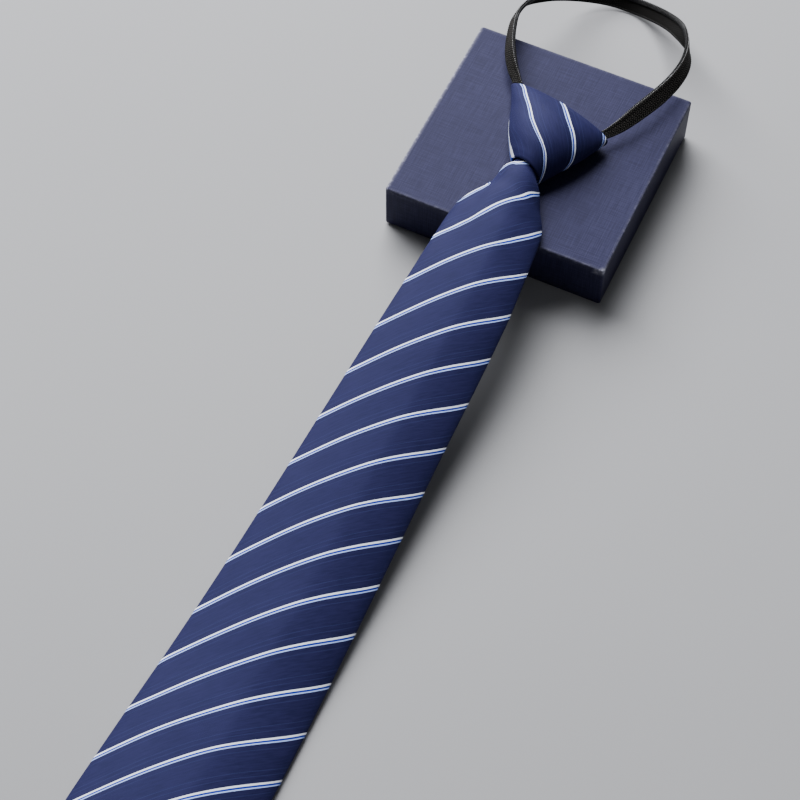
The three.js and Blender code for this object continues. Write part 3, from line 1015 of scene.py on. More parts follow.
@dataclass
class Blade:
    """The front blade: one cloth folded round to two flaps that overlap behind.

    Its run is the share of its length below the knot's mouth, from 0 there to 1 at the point.

    Attributes:
        width: Width at the shoulders of the point.
        length: Length from the knot's mouth to the point.
        crown: Greatest height of the front over the blade's back.
        neck: Length that goes up into the knot.
        tip_radius: Half the width of the blunt point.
        heading: Turn of the blade from -Y, in degrees.
        ramp: Distance in which the blade comes down from the box's edge to the table.
        hem: Width of the flaps at the shoulders.
        back_opening: Distance from the point to where the flaps part.
        roll: Radius of the folds.
        cloth: Thickness of the cloth.
        overlap: Distance by which the flaps pass the middle.
        fullness: Power of the front's arch, where less is fuller.
        thinning: Power by which the crown thins towards the point.
        ridge: Place of the crest, as a share of the half width.
        sharpness: Power of the fall from the crest, where less is sharper.
        on_box: Height of the blade's back over the box.
        in_mouth: Height of its back in the knot's mouth.
        mouth_x: Place of the knot's mouth across the model.
        mouth_y: Place of the knot's mouth along the model.
        setback: Distance from the mouth to the box's front edge.
        swell: Height of the soft waves on the front.
        bow: Bow of the stripes across the front, per metre.
        bow_reach: Where the bow ends, as a share of the width.
        curl: Slip of the stripes at the folds.
        tucks: Places at the blade's top where the stripes slip.
        arch_steps: Steps across the front.
        corner_steps: Steps round a fold.
        flap_steps: Steps across a flap.
        near_step: Run from one section to the next at the knot.
        middle_sections: Sections from there to the point's shoulders.
        point_sections: Sections down the point.
        tip_sections: Sections round the blunt tip.
        sections: Half width, crown and side shift as shares, and the turn in degrees, down the run.
        slope: Height beyond the box as a share, by the share of the ramp.
        saddle: Height over the box as a share, by the share of the setback.
        slip: Slip of the stripes along the blade in mm, by the place along it in mm.
    """

    width: float = 82.5 * MM
    length: float = 431 * MM
    crown: float = 12 * MM
    neck: float = 9 * MM
    tip_radius: float = 1.6 * MM
    heading: float = -2.0
    ramp: float = 275 * MM
    hem: float = 9 * MM
    back_opening: float = 80 * MM
    roll: float = 2.1 * MM
    cloth: float = 1.0 * MM
    overlap: float = 4 * MM
    fullness: float = 0.68
    thinning: float = 0.8
    ridge: float = 0.2
    sharpness: float = 1.55
    on_box: float = 31.2 * MM
    in_mouth: float = 33.95 * MM
    mouth_x: float = 1.6 * MM
    mouth_y: float = -24.5 * MM
    setback: float = 35.5 * MM
    swell: float = 0.12 * MM
    bow: float = 3.5
    bow_reach: float = 0.75
    curl: float = 2 * MM
    tucks: tuple[Tuck, ...] = (
        Tuck(2.0, out=(4, 8), low=(-14, -8)),
        Tuck(3.5, out=(11, 15), low=(-19, -15), high=(9, 12)),
        Tuck(-5.8, out=(9, 16), low=(-45, -30), high=(12, 20)),
    )
    arch_steps: int = 60
    corner_steps: int = 6
    flap_steps: int = 12
    near_step: float = 0.003
    middle_sections: int = 150
    point_sections: int = 26
    tip_sections: int = 6
    sections: SmoothTable = SmoothTable(
        ("run", "half", "crown", "side", "yaw"),
        (
            (-0.021, 0.082, 0.72, 0.002, -17),
            (0, 0.098, 0.74, 0.001, -18),
            (0.014, 0.146, 0.87, 0.009, -15),
            (0.035, 0.182, 0.93, 0.022, -9),
            (0.058, 0.256, 0.90, 0.013, -4),
            (0.080, 0.291, 0.84, 0.011, -1),
            (0.120, 0.311, 0.79, 0.018, 0),
            (0.200, 0.3425, 0.78, 0.0285, 0),
            (0.400, 0.387, 0.85, 0.02, 0),
            (0.600, 0.434, 0.93, 0.02, 0),
            (0.800, 0.483, 1.0, 0.02, 0),
            (0.905, 0.5, 1.0, 0.02, 0),
        ),
    )
    slope: SmoothTable = SmoothTable(
        ("run", "high"),
        ((0, 1), (0.09, 0.945), (0.2, 0.82), (0.4, 0.545), (0.6, 0.3), (0.8, 0.105), (1, 0)),
    )
    saddle: SmoothTable = SmoothTable(("run", "high"), ((-0.4, 1), (0.1, 1), (0.5, 0.25), (0.85, 0)))
    slip: SmoothTable = SmoothTable(
        ("along", "shift"),
        (
            (-343, 0.2),
            (-317, -0.9),
            (-290, -0.5),
            (-263, 0.4),
            (-236, 1.5),
            (-210, 2.1),
            (-184, 1.5),
            (-159, 0.7),
            (-133, 0.3),
            (-107, 0.4),
            (-81, 0.6),
            (-55, 0.2),
            (-47, -0.7),
            (-38, 0.5),
            (-29, 2.9),
            (-20, 4.1),
            (-13, 6.6),
            (-8, 6.0),
            (-3, 4.2),
            (9, 2.0),
        ),
    )

    @property
    def shoulder(self) -> float:
        """The run at which the point's slanted edges start."""
        return 1 - self.width / 2 / self.length

    def back_height(self, y: np.ndarray) -> np.ndarray:
        """Finds how high the blade's back lies above the table.

        Args:
            y: Places along the model.

        Returns:
            The height at each place.
        """
        front_edge = self.mouth_y - self.setback
        share = self.saddle.read("high", (self.mouth_y - y) / self.setback)
        near = self.on_box + (self.in_mouth - self.on_box) * share
        far = self.on_box * self.slope.read("high", (front_edge - y) / self.ramp)
        return np.where(y >= front_edge, near, far)

    def frames(self, run: np.ndarray) -> tuple[np.ndarray, np.ndarray, np.ndarray, np.ndarray]:
        """Places the blade's sections.

        Args:
            run: Runs of the sections.

        Returns:
            The middle of each section's back, the way across it, its half width and its crown.
        """
        heading = math.radians(self.heading)
        axis = np.array([math.sin(heading), -math.cos(heading), 0])
        square = np.array([math.cos(heading), math.sin(heading), 0])
        point = np.clip((run - self.shoulder) / (1 - self.shoulder), 0, 1)
        half = np.maximum(self.sections.read("half", run) * self.width * (1 - point), self.tip_radius)
        flat = 2 * self.roll
        proud = self.sections.read("crown", run) * self.crown - flat
        crown = flat + proud * (1 - point) ** self.thinning
        origin = np.array([self.mouth_x, self.mouth_y, 0]) + run[:, None] * self.length * axis
        origin = origin + (self.sections.read("side", run) * self.width)[:, None] * square
        origin[:, 2] = self.back_height(origin[:, 1])
        yaw = np.radians(self.sections.read("yaw", run)) + heading
        across = np.stack([np.cos(yaw), np.sin(yaw), np.zeros_like(yaw)], axis=1)
        return origin, across, half, crown

    def outline(
        self, run: np.ndarray, half: np.ndarray, crown: np.ndarray
    ) -> tuple[np.ndarray, np.ndarray]:
        """Lays the cloth's path round each section.

        It starts at the inner edge of the left flap, goes round the left fold, over the front and
        round the right fold, and ends at the inner edge of the right flap.

        Args:
            run: Runs of the sections.
            half: Their half widths.
            crown: Their crowns.

        Returns:
            The distances across and up, each with a row for a section.
        """
        radius = np.minimum(self.roll, np.minimum(half / 2, crown / 2))[:, None]
        half = half[:, None]
        crown = crown[:, None]
        opening = 1 - self.back_opening / self.length
        parted = np.clip((run - opening) / (self.shoulder - opening), 0, 1)[:, None]
        hem_edge = np.maximum(half - self.hem, 0.1 * MM)
        inner = -self.overlap + (hem_edge + self.overlap) * parted
        reach = np.linspace(0, 1, self.flap_steps)[None, :]
        right_x = (half - radius) * (1 - reach) + inner * reach
        left_x = -right_x
        lift = (self.cloth + 0.15 * MM) * smoothstep(-2.5 * self.overlap, -0.8 * self.overlap, left_x)
        left_z = lift * (1 - parted)
        turn = np.linspace(0, math.pi / 2, self.corner_steps + 1)[None, 1:]
        corner_x = half - radius + radius * np.sin(turn)
        corner_z = radius * (1 - np.cos(turn))
        angle = np.linspace(-math.pi / 2, math.pi / 2, self.arch_steps + 1)[None, 1:-1]
        arch_x = half * np.sin(angle)
        formed = smoothstep(0.02, 0.1, run)[:, None]
        fullness = 0.5 + (self.fullness - 0.5) * smoothstep(0.004, 0.04, run)[:, None]
        ridge = self.ridge * formed
        sharp = 2 - (2 - self.sharpness) * formed
        place = np.sin(angle) - ridge
        place = np.abs(place) / np.where(place < 0, 1 + ridge, 1 - ridge)
        arch_z = radius + (crown - radius) * np.maximum(1 - place**sharp, 0) ** fullness
        x = np.concatenate([left_x[:, ::-1], -corner_x, arch_x, corner_x[:, ::-1], right_x], axis=1)
        z = np.concatenate([left_z[:, ::-1], corner_z, arch_z, corner_z[:, ::-1], right_x * 0], axis=1)
        return x, z

    def runs(self) -> np.ndarray:
        """Spaces the sections, close together at both ends.

        Returns:
            Their runs.
        """
        tip = 1 - self.tip_radius / self.length
        near = np.arange(-self.neck / self.length, 0.1, self.near_step)
        middle = np.linspace(near[-1] + 0.004, self.shoulder, self.middle_sections)
        return np.concatenate([near, middle, np.linspace(self.shoulder, tip, self.point_sections)[1:]])

    def skin(self) -> tuple[np.ndarray, np.ndarray, np.ndarray]:
        """Lays the cloth's outer side.

        Returns:
            Its points, its cloth coordinates and how far out each point lies.
        """
        run = self.runs()
        origin, across, half, crown = self.frames(run)
        x, z = self.outline(run, half, crown)
        out = x / half[:, None]
        front = smoothstep(self.roll, 2 * self.roll, z)
        swell = np.sin(run * 31 + 1.3)[:, None] * np.sin(out * 2.2 + 0.6)
        swell = swell + 0.6 * np.sin(run * 57)[:, None] * np.sin(out * 3.7 - 1.1)
        z = z + self.swell * front * swell
        rounding = np.linspace(0, 1, self.tip_sections)[1:]
        end = self.tip_radius * np.sin(rounding * math.pi / 2) / self.length
        shrink = np.maximum(np.cos(rounding * math.pi / 2), 0.04)[:, None]
        middle = crown[-1] / 2
        x = np.concatenate([x, x[-1] * shrink])
        z = np.concatenate([z, middle + (z[-1] - middle) * shrink])
        tip_origin, tip_across, _, _ = self.frames(run[-1] + end)
        origin = np.concatenate([origin, tip_origin])
        across = np.concatenate([across, tip_across])
        run = np.concatenate([run, run[-1] + end])
        points = origin[:, None] + x[..., None] * across[:, None] + z[..., None] * UP
        along = run_lengths(np.stack([x, z], axis=-1))
        crest = self.flap_steps + self.corner_steps + self.arch_steps // 2 - 1
        u = along - along[:, crest : crest + 1]
        v = np.repeat(-run[:, None] * self.length, u.shape[1], axis=1)
        share = np.abs(x) / np.abs(x).max(axis=1, keepdims=True)
        return points, np.stack([u, v], axis=-1), share

    def eased(self, uv: np.ndarray, share: np.ndarray) -> np.ndarray:
        """Gives the cloth coordinates the bias cloth's own stretch.

        Args:
            uv: Cloth coordinates of the unstretched cloth.
            share: How far out each point lies, from 0 on the crest to 1 at a fold.

        Returns:
            The coordinates with the stripes bowed, slipped along the blade and gathered at its top.
        """
        u = uv[..., 0]
        v = uv[..., 1]
        front = np.minimum(np.abs(u), self.bow_reach * self.width)
        shift = self.slip.read("shift", v / MM) * MM - self.bow * front**2 + self.curl * share**8
        tucked = sum(tuck.read(-u / MM, v / MM) for tuck in self.tucks)
        return np.stack([u, v - (shift + tucked * MM)], axis=-1)

    def build(self, finishes: Finishes) -> None:
        """Builds and dresses the blade.

        Args:
            finishes: The object's finishes.
        """
        points, flat, share = self.skin()
        uv = self.eased(flat, share)
        blade = thicken(grid_object("blade_cloth", points, uv), self.cloth)
        dress(blade, finishes.blade_silk, ("blade",))


@dataclass
class Knot:
    """The knot: one wound wrap, an open funnel with rolled edges at its top and mouth.

    Its run is the share of its height from the top, at 0, to the mouth, at 1.

    Attributes:
        width: Width at the top.
        height: Height from the mouth to the top.
        thickness: Greatest thickness from back to front.
        wall: Thickness of the wrap in front and behind.
        side_wall: Thickness of the wrap at the sides.
        mouth_x: Place of the mouth across the model.
        mouth_y: Place of the mouth along the model.
        back: Height of the knot's back over the table.
        corner: Height of the widest place, as a share of the thickness.
        flatness: Power of the back's arch, where less is flatter.
        crest_shift: Distance of the crest left of the middle.
        crest_reach: Distance in which the pull on the crest fades.
        top_corner: Slip of the stripes at the upper left corner.
        fold_slant: Slant of the left fold, out for each unit of height.
        fold_top: Height where the fold stops slanting, in mm.
        fold_edge: Where the slip past the fold starts and is whole, in mm.
        sides: Points round the knot.
        outer_steps: Rings up its outside.
        inner_steps: Rings from the middle of its inside to each edge.
        roll_steps: Rings round each rolled edge.
        sections: Half width, thickness, side shift, turn in degrees and arch, down the run.
        pull: Slip of the stripes on the crest in mm, by the height over the mouth in mm.
        border: Slip of the stripes past the left fold in mm, by the same height.
    """

    width: float = 61 * MM
    height: float = 42.6 * MM
    thickness: float = 21.5 * MM
    wall: float = 2.0 * MM
    side_wall: float = 1.2 * MM
    mouth_x: float = 1.6 * MM
    mouth_y: float = -24.5 * MM
    back: float = 29.3 * MM
    corner: float = 0.42
    flatness: float = 0.3
    crest_shift: float = 2 * MM
    crest_reach: float = 14 * MM
    top_corner: Tuck = Tuck(2.2, out=(16, 24), low=(30, 40))
    fold_slant: float = 0.5
    fold_top: float = 30.0
    fold_edge: tuple[float, float] = (9.0, 17.5)
    sides: int = 144
    outer_steps: int = 56
    inner_steps: int = 12
    roll_steps: int = 6
    sections: SmoothTable = SmoothTable(
        ("run", "half", "high", "side", "yaw", "arch"),
        (
            (0, 0.5, 0.73, 0.012, -12.4, 0.56),
            (0.1, 0.475, 0.84, 0.013, -13, 0.6),
            (0.32, 0.41, 0.97, 0.015, -14, 0.6),
            (0.54, 0.344, 1.0, 0.002, -15.5, 0.56),
            (0.73, 0.275, 0.95, -0.01, -17, 0.52),
            (0.92, 0.192, 0.82, -0.008, -18, 0.5),
            (1, 0.159, 0.76, 0, -18, 0.5),
        ),
    )
    pull: SmoothTable = SmoothTable(
        ("up", "shift"),
        ((-2, 2.0), (4, 4.0), (8, 3.6), (11, 1.2), (14, -1.1), (20, -3.1), (29, -3.3), (36, -1), (41, 0)),
    )
    border: SmoothTable = SmoothTable(
        ("up", "shift"), ((-2, -4.0), (0, -3.4), (4, -1.8), (9, 0.6), (14, 3.2), (18, 4.8), (25, 0))
    )

    def stations(self) -> tuple[np.ndarray, np.ndarray]:
        """Lays the wrap's path, from half way up the inside down to its mouth and all the way round.

        Returns:
            The share of the height from the top, and the depth under the outside, at each station.
        """
        bend = self.wall / 2
        reach = bend / self.height
        outer = np.linspace(1 - reach, reach, self.outer_steps)
        down = np.linspace(0.5, 1 - reach, self.inner_steps)
        back_down = np.linspace(reach, 0.5, self.inner_steps + 1)[:-1]
        turn = np.linspace(0, math.pi, self.roll_steps + 2)[1:-1]
        over_top = reach * (1 - np.sin(turn))
        over_mouth = 1 - reach * (1 - np.sin(turn))
        deep = bend * (1 - np.cos(turn))
        run = np.concatenate([down, over_mouth, outer, over_top, back_down])
        inside = np.full(self.inner_steps, self.wall)
        return run, np.concatenate([inside, deep[::-1], outer * 0, deep, inside])

    def skin(self) -> tuple[np.ndarray, np.ndarray]:
        """Lays the wrap, with columns from the back over the right side, the front and the left.

        Returns:
            Its points and cloth coordinates, as grids that wrap both ways.
        """
        run, depth = self.stations()
        read = {name: self.sections.read(name, run)[:, None] for name in self.sections.columns[1:]}
        half = read["half"] * self.width - depth[:, None] * self.side_wall / self.wall
        high = read["high"] * self.thickness
        middle = high * self.corner
        angle = (-math.pi / 2 + np.arange(self.sides + 1) / self.sides * 2 * math.pi)[None, :]
        sine = np.sin(angle)
        front = sine > 0
        power = 2 * np.where(front, read["arch"], self.flatness)
        reach = np.where(front, high - depth[:, None] - middle, depth[:, None] - middle)
        x = half * np.cos(angle)
        z = middle + reach * np.abs(sine) ** power
        yaw = np.radians(read["yaw"])
        origin_x = self.mouth_x + read["side"] * self.width
        origin_y = self.mouth_y + (1 - run[:, None]) * self.height
        placed = [origin_x + x * np.cos(yaw), origin_y + x * np.sin(yaw), self.back + z]
        points = np.stack(placed, axis=-1)
        around = run_lengths(np.stack([x, z], axis=-1))
        u = around[:, self.sides // 2 : self.sides // 2 + 1] - around
        travelled = run_lengths(np.stack([run * self.height, depth], axis=-1))
        travelled = travelled - travelled[self.inner_steps + self.roll_steps]
        rising = np.append(travelled, travelled[-1] + self.wall / 2)
        u = np.concatenate([u, u[:1]])
        v = np.repeat(rising[:, None], u.shape[1], axis=1)
        return points[:, :-1], self.eased(u, v)

    def eased(self, u: np.ndarray, v: np.ndarray) -> np.ndarray:
        """Gives the cloth coordinates the pull of the wound cloth.

        Args:
            u: Distance round the knot from the middle of its front, to the right.
            v: Distance up from its mouth.

        Returns:
            The cloth coordinates, with the stripes pulled on the crest and past the left fold.
        """
        left = -u / MM
        up = v / MM
        crest = np.exp(-(((u + self.crest_shift) / self.crest_reach) ** 2))
        past_fold = left - self.fold_slant * np.clip(up, 0, self.fold_top)
        edge = smoothstep(*self.fold_edge, past_fold) * self.border.read("shift", up)
        pulled = self.pull.read("shift", up) * crest + self.top_corner.read(left, up) + edge
        return np.stack([u, v - pulled * MM], axis=-1)

    def build(self, finishes: Finishes) -> None:
        """Builds and dresses the knot.

        Args:
            finishes: The object's finishes.
        """
        points, uv = self.skin()
        knot = grid_object("knot_wrap", points, uv, wrap_rows=True, wrap_columns=True)
        dress(knot, finishes.knot_silk, ("knot",))


@dataclass(frozen=True)
class Rail:
    """A line of points that small repeated pieces are set along.

    Attributes:
        points: The line.
        along: The way along it.
        across: The way across the tape.
        wide: Scale of the pieces across the tape.
    """

    points: np.ndarray
    along: np.ndarray
    across: np.ndarray
    wide: np.ndarray


class RowOf(Enum):
    """What a row of small repeated pieces is made of."""

    COIL = "coil"
    STITCH = "stitch"


@dataclass(frozen=True)
class Row:
    """A row of coil loops or stitches, made with Geometry Nodes along a rail.

    Attributes:
        kind: What the pieces are.
        pitch: Distance from one to the next.
        across: Size of each across the tape.
        high: Size of each out of the tape.
        wire: Thickness of the wire or thread.
        tilt: Turn of each from square to the rail, in degrees.
        loop_steps: Steps round a loop.
        wire_steps: Steps round the wire or thread.
        pill_rings: Steps along a stitch.
    """

    kind: RowOf
    pitch: float
    across: float
    high: float
    wire: float
    tilt: float = 0.0
    loop_steps: int = 12
    wire_steps: int = 6
    pill_rings: int = 5

    def tree(self, material: bpy.types.Material) -> bpy.types.NodeTree:
        """Builds the node tree that sets the pieces along a line.

        Args:
            material: The pieces' material.

        Returns:
            The tree, with named inputs for the sizes.
        """
        tree = bpy.data.node_groups.new(f"row of {self.kind.value}", "GeometryNodeTree")
        tree.interface.new_socket("Geometry", in_out="INPUT", socket_type="NodeSocketGeometry")
        for name in ("Pitch", "Across", "High", "Wire", "Tilt"):
            tree.interface.new_socket(name, in_out="INPUT", socket_type="NodeSocketFloat")
        tree.interface.new_socket("Geometry", in_out="OUTPUT", socket_type="NodeSocketGeometry")
        node = tree.nodes.new
        link = tree.links.new
        given = node("NodeGroupInput")
        line = node("GeometryNodeMeshToCurve")
        link(given.outputs["Geometry"], line.inputs["Mesh"])
        spaced = node("GeometryNodeResampleCurve")
        spaced.mode = "LENGTH"
        link(line.outputs["Curve"], spaced.inputs["Curve"])
        link(given.outputs["Pitch"], spaced.inputs["Length"])
        piece = self.loop(tree, given) if self.kind is RowOf.COIL else self.pill(tree, given)
        facing = node("FunctionNodeAxesToRotation")
        facing.primary_axis = "Z"
        facing.secondary_axis = "X"
        along = self.stored(tree, "along", "FLOAT_VECTOR")
        across = self.stored(tree, "across", "FLOAT_VECTOR")
        link(along, facing.inputs["Primary Axis"])
        link(across, facing.inputs["Secondary Axis"])
        stretch = self.vector(tree, self.stored(tree, "wide", "FLOAT"), 1.0, 1.0)
        copies = node("GeometryNodeInstanceOnPoints")
        link(spaced.outputs["Curve"], copies.inputs["Points"])
        link(piece, copies.inputs["Instance"])
        link(facing.outputs["Rotation"], copies.inputs["Rotation"])
        link(stretch, copies.inputs["Scale"])
        real = node("GeometryNodeRealizeInstances")
        link(copies.outputs["Instances"], real.inputs["Geometry"])
        smooth = node("GeometryNodeSetShadeSmooth")
        link(real.outputs["Geometry"], smooth.inputs["Geometry"])
        painted = node("GeometryNodeSetMaterial")
        painted.inputs["Material"].default_value = material
        link(smooth.outputs["Geometry"], painted.inputs["Geometry"])
        result = node("NodeGroupOutput")
        link(painted.outputs["Geometry"], result.inputs["Geometry"])
        return tree

    def stored(self, tree: bpy.types.NodeTree, name: str, kind: str) -> bpy.types.NodeSocket:
        """Reads a value that the line stores.

        Args:
            tree: The node tree.
            name: The value's name.
            kind: Its data type.

        Returns:
            The value.
        """
        made = tree.nodes.new("GeometryNodeInputNamedAttribute")
        made.data_type = kind
        made.inputs["Name"].default_value = name
        return made.outputs["Attribute"]

    def vector(self, tree: bpy.types.NodeTree, *values: object) -> bpy.types.NodeSocket:
        """Puts a vector together.

        Args:
            tree: The node tree.
            *values: Its values, each a socket or a plain number.

        Returns:
            The vector.
        """
        made = tree.nodes.new("ShaderNodeCombineXYZ")
        for socket, value in zip(made.inputs, values):
            if isinstance(value, bpy.types.NodeSocket):
                tree.links.new(value, socket)
            else:
                socket.default_value = value
        return made.outputs[0]

    def shaped(
        self,
        tree: bpy.types.NodeTree,
        given: bpy.types.Node,
        piece: bpy.types.NodeSocket,
        size: bpy.types.NodeSocket,
    ) -> bpy.types.NodeSocket:
        """Scales a piece to its size and tilts it.

        Args:
            tree: The node tree.
            given: The tree's inputs.
            piece: The piece, at a size of 1.
            size: Its sizes along its three axes.

        Returns:
            The piece in its shape.
        """
        shape = tree.nodes.new("GeometryNodeTransform")
        tree.links.new(piece, shape.inputs["Geometry"])
        tree.links.new(size, shape.inputs["Scale"])
        tree.links.new(self.vector(tree, 0.0, given.outputs["Tilt"], 0.0), shape.inputs["Rotation"])
        return shape.outputs["Geometry"]

    def loop(self, tree: bpy.types.NodeTree, given: bpy.types.Node) -> bpy.types.NodeSocket:
        """Makes one loop of the coil.

        Args:
            tree: The node tree.
            given: The tree's inputs.

        Returns:
            The loop, of round wire.
        """
        loop = tree.nodes.new("GeometryNodeCurvePrimitiveCircle")
        loop.inputs["Resolution"].default_value = self.loop_steps
        loop.inputs["Radius"].default_value = 0.5
        size = self.vector(tree, given.outputs["Across"], given.outputs["High"], 1.0)
        half = tree.nodes.new("ShaderNodeMath")
        half.operation = "MULTIPLY"
        half.inputs[1].default_value = 0.5
        tree.links.new(given.outputs["Wire"], half.inputs[0])
        wire = tree.nodes.new("GeometryNodeCurvePrimitiveCircle")
        wire.inputs["Resolution"].default_value = self.wire_steps
        tree.links.new(half.outputs[0], wire.inputs["Radius"])
        tube = tree.nodes.new("GeometryNodeCurveToMesh")
        tree.links.new(self.shaped(tree, given, loop.outputs["Curve"], size), tube.inputs["Curve"])
        tree.links.new(wire.outputs["Curve"], tube.inputs["Profile Curve"])
        return tube.outputs["Mesh"]

    def pill(self, tree: bpy.types.NodeTree, given: bpy.types.Node) -> bpy.types.NodeSocket:
        """Makes one stitch.

        Args:
            tree: The node tree.
            given: The tree's inputs.

        Returns:
            The stitch, a small long ball.
        """
        pill = tree.nodes.new("GeometryNodeMeshUVSphere")
        pill.inputs["Segments"].default_value = self.wire_steps
        pill.inputs["Rings"].default_value = self.pill_rings
        pill.inputs["Radius"].default_value = 0.5
        size = self.vector(tree, *(given.outputs[name] for name in ("Wire", "High", "Across")))
        return self.shaped(tree, given, pill.outputs["Mesh"], size)

    def along(self, name: str, rails: list[Rail], material: bpy.types.Material) -> bpy.types.Object:
        """Sets the pieces along rails.

        Args:
            name: The object's name.
            rails: The lines to follow.
            material: The pieces' material.

        Returns:
            The finished object, as one plain mesh.
        """
        mesh = bpy.data.meshes.new(name)
        edges = []
        start = 0
        for rail in rails:
            edges += [(start + i, start + i + 1) for i in range(len(rail.points) - 1)]
            start += len(rail.points)
        mesh.from_pydata(np.concatenate([rail.points for rail in rails]).tolist(), edges, [])
        for key in ("along", "across"):
            values = np.concatenate([getattr(rail, key) for rail in rails]).astype(np.float32)
            mesh.attributes.new(key, "FLOAT_VECTOR", "POINT").data.foreach_set("vector", values.ravel())
        wide = np.concatenate([rail.wide for rail in rails]).astype(np.float32)
        mesh.attributes.new("wide", "FLOAT", "POINT").data.foreach_set("value", wide)
        made = new_object(name, mesh)
        modifier = made.modifiers.new("row", "NODES")
        modifier.node_group = self.tree(material)
        sizes = {"Pitch": self.pitch, "Across": self.across, "High": self.high, "Wire": self.wire}
        sizes["Tilt"] = math.radians(self.tilt)
        for item in modifier.node_group.interface.items_tree:
            if item.in_out == "INPUT" and item.name in sizes:
                modifier[item.identifier] = sizes[item.name]
        return applied(made)


@dataclass
class NeckBand:
    """The zip tape that goes round the neck as one loop, with its coil and stitches.

    Attributes:
        tape_width: Width of the tape.
        thickness: Thickness of the tape.
        loop_reach: Distance from the knot's top to the loop's far end.
        loop_width: Width that the route's side shares are of.
        mouth_x: Place of the knot's mouth across the model.
        knot_top: Place of the knot's top along the model.
        low: Height of the tape's middle where it rests on the table.
        high: Height of its middle in the knot.
        steps: Steps along the tape.
        coil_share: Part of the route that the coil leaves free at each end.
        dots_share: Part of the route that the painted glint dots along the edge leave free at each end.
        narrowest: Least width of the small pieces, as a share, where the tape is gathered.
        route: Places along, across and up as shares, the lean in degrees and the width as a share.
    """

    tape_width: float = 8.6 * MM
    thickness: float = 1.1 * MM
    loop_reach: float = 112 * MM
    loop_width: float = 97 * MM
    mouth_x: float = 1.6 * MM
    knot_top: float = 18.1 * MM
    low: float = 3.524 * MM
    high: float = 33.3 * MM
    steps: int = 480
    coil_share: float = 0.1
    dots_share: float = 0.12
    narrowest: float = 0.6
    route: SmoothTable = SmoothTable(
        ("at", "side", "back", "high", "lean", "wide"),
        tuple(
            (i / 29, *row)
            for i, row in enumerate(
                (
                    (-0.023, -0.193, 1.0, 90, 0.3),
                    (-0.025, -0.148, 1.0, 90, 0.33),
                    (-0.090, -0.070, 1.03, 84, 0.42),
                    (-0.180, -0.005, 1.06, 72, 0.46),
                    (-0.245, 0.046, 1.09, 60, 0.5),
                    (-0.299, 0.098, 1.125, 50, 0.62),
                    (-0.345, 0.145, 1.165, 32, 0.82),
                    (-0.398, 0.22, 1.197, 24, 1),
                    (-0.448, 0.336, 1.18, 21, 1),
                    (-0.474, 0.44, 1.131, 19, 1),
                    (-0.463, 0.56, 1.03, 24, 1),
                    (-0.405, 0.72, 0.74, -10, 1),
                    (-0.285, 0.905, 0.246, -42, 1),
                    (-0.122, 0.992, 0.03, -50, 1),
                    (0.018, 1.0, 0, -50, 1),
                    (0.158, 0.955, 0.154, -50, 1),
                    (0.268, 0.883, 0.38, -50, 1),
                    (0.343, 0.80, 0.636, -45, 1),
                    (0.405, 0.713, 0.886, -20, 1),
                    (0.468, 0.615, 1.06, 11, 1),
                    (0.500, 0.505, 1.16, 26, 1),
                    (0.496, 0.392, 1.203, 35, 1),
                    (0.460, 0.267, 1.213, 43, 1),
                    (0.400, 0.138, 1.203, 48, 0.95),
                    (0.333, 0.022, 1.15, 54, 0.74),
                    (0.268, -0.047, 1.095, 60, 0.52),
                    (0.185, -0.082, 1.055, 72, 0.46),
                    (0.100, -0.110, 1.02, 84, 0.4),
                    (0.033, -0.148, 1.0, 90, 0.33),
                    (0.031, -0.193, 1.0, 90, 0.3),
                )
            )
        ),
    )

    def line(self, t: np.ndarray) -> tuple[np.ndarray, np.ndarray]:
        """Follows a centripetal curve through the route's points.

        Args:
            t: Shares of the route.

        Returns:
            The points, and the ways along the curve there.
        """
        x = self.mouth_x + self.route.column("side") * self.loop_width
        y = self.knot_top + self.route.column("back") * self.loop_reach
        z = self.low + self.route.column("high") * (self.high - self.low)
        chosen = np.stack([x, y, z], axis=1)
        before = 2 * chosen[:1] - chosen[1:2]
        after = 2 * chosen[-1:] - chosen[-2:-1]
        padded = np.concatenate([before, chosen, after])
        place = t * (len(chosen) - 1)
        i = np.minimum(place.astype(int), len(chosen) - 2)
        s = (place - i)[:, None]
        p0, p1, p2, p3 = (padded[i + k] for k in range(4))
        pairs = ((p0, p1), (p1, p2), (p2, p3))
        d0, d1, d2 = (np.sqrt(np.linalg.norm(b - a, axis=1))[:, None] for a, b in pairs)
        m1 = ((p1 - p0) / d0 - (p2 - p0) / (d0 + d1) + (p2 - p1) / d1) * d1
        m2 = ((p2 - p1) / d1 - (p3 - p1) / (d1 + d2) + (p3 - p2) / d2) * d1
        c2 = -3 * p1 + 3 * p2 - 2 * m1 - m2
        c3 = 2 * p1 - 2 * p2 + m1 + m2
        return p1 + m1 * s + c2 * s**2 + c3 * s**3, unit(m1 + 2 * c2 * s + 3 * c3 * s**2)

    def frames(self, t: np.ndarray) -> tuple[np.ndarray, np.ndarray, np.ndarray, np.ndarray, np.ndarray]:
        """Places the tape's sections.

        Args:
            t: Shares of the route.

        Returns:
            The middle, the ways along, across and out of the face, and the width as a share.
        """
        origin, along = self.line(t)
        outward = unit(np.stack([-along[:, 1], along[:, 0], along[:, 0] * 0], axis=1))
        lean = np.radians(self.route.read("lean", t))[:, None]
        face = outward * np.cos(lean) + UP * np.sin(lean)
        face = unit(face - along * (face * along).sum(axis=1, keepdims=True))
        return origin, along, unit(np.cross(along, face)), face, self.route.read("wide", t)

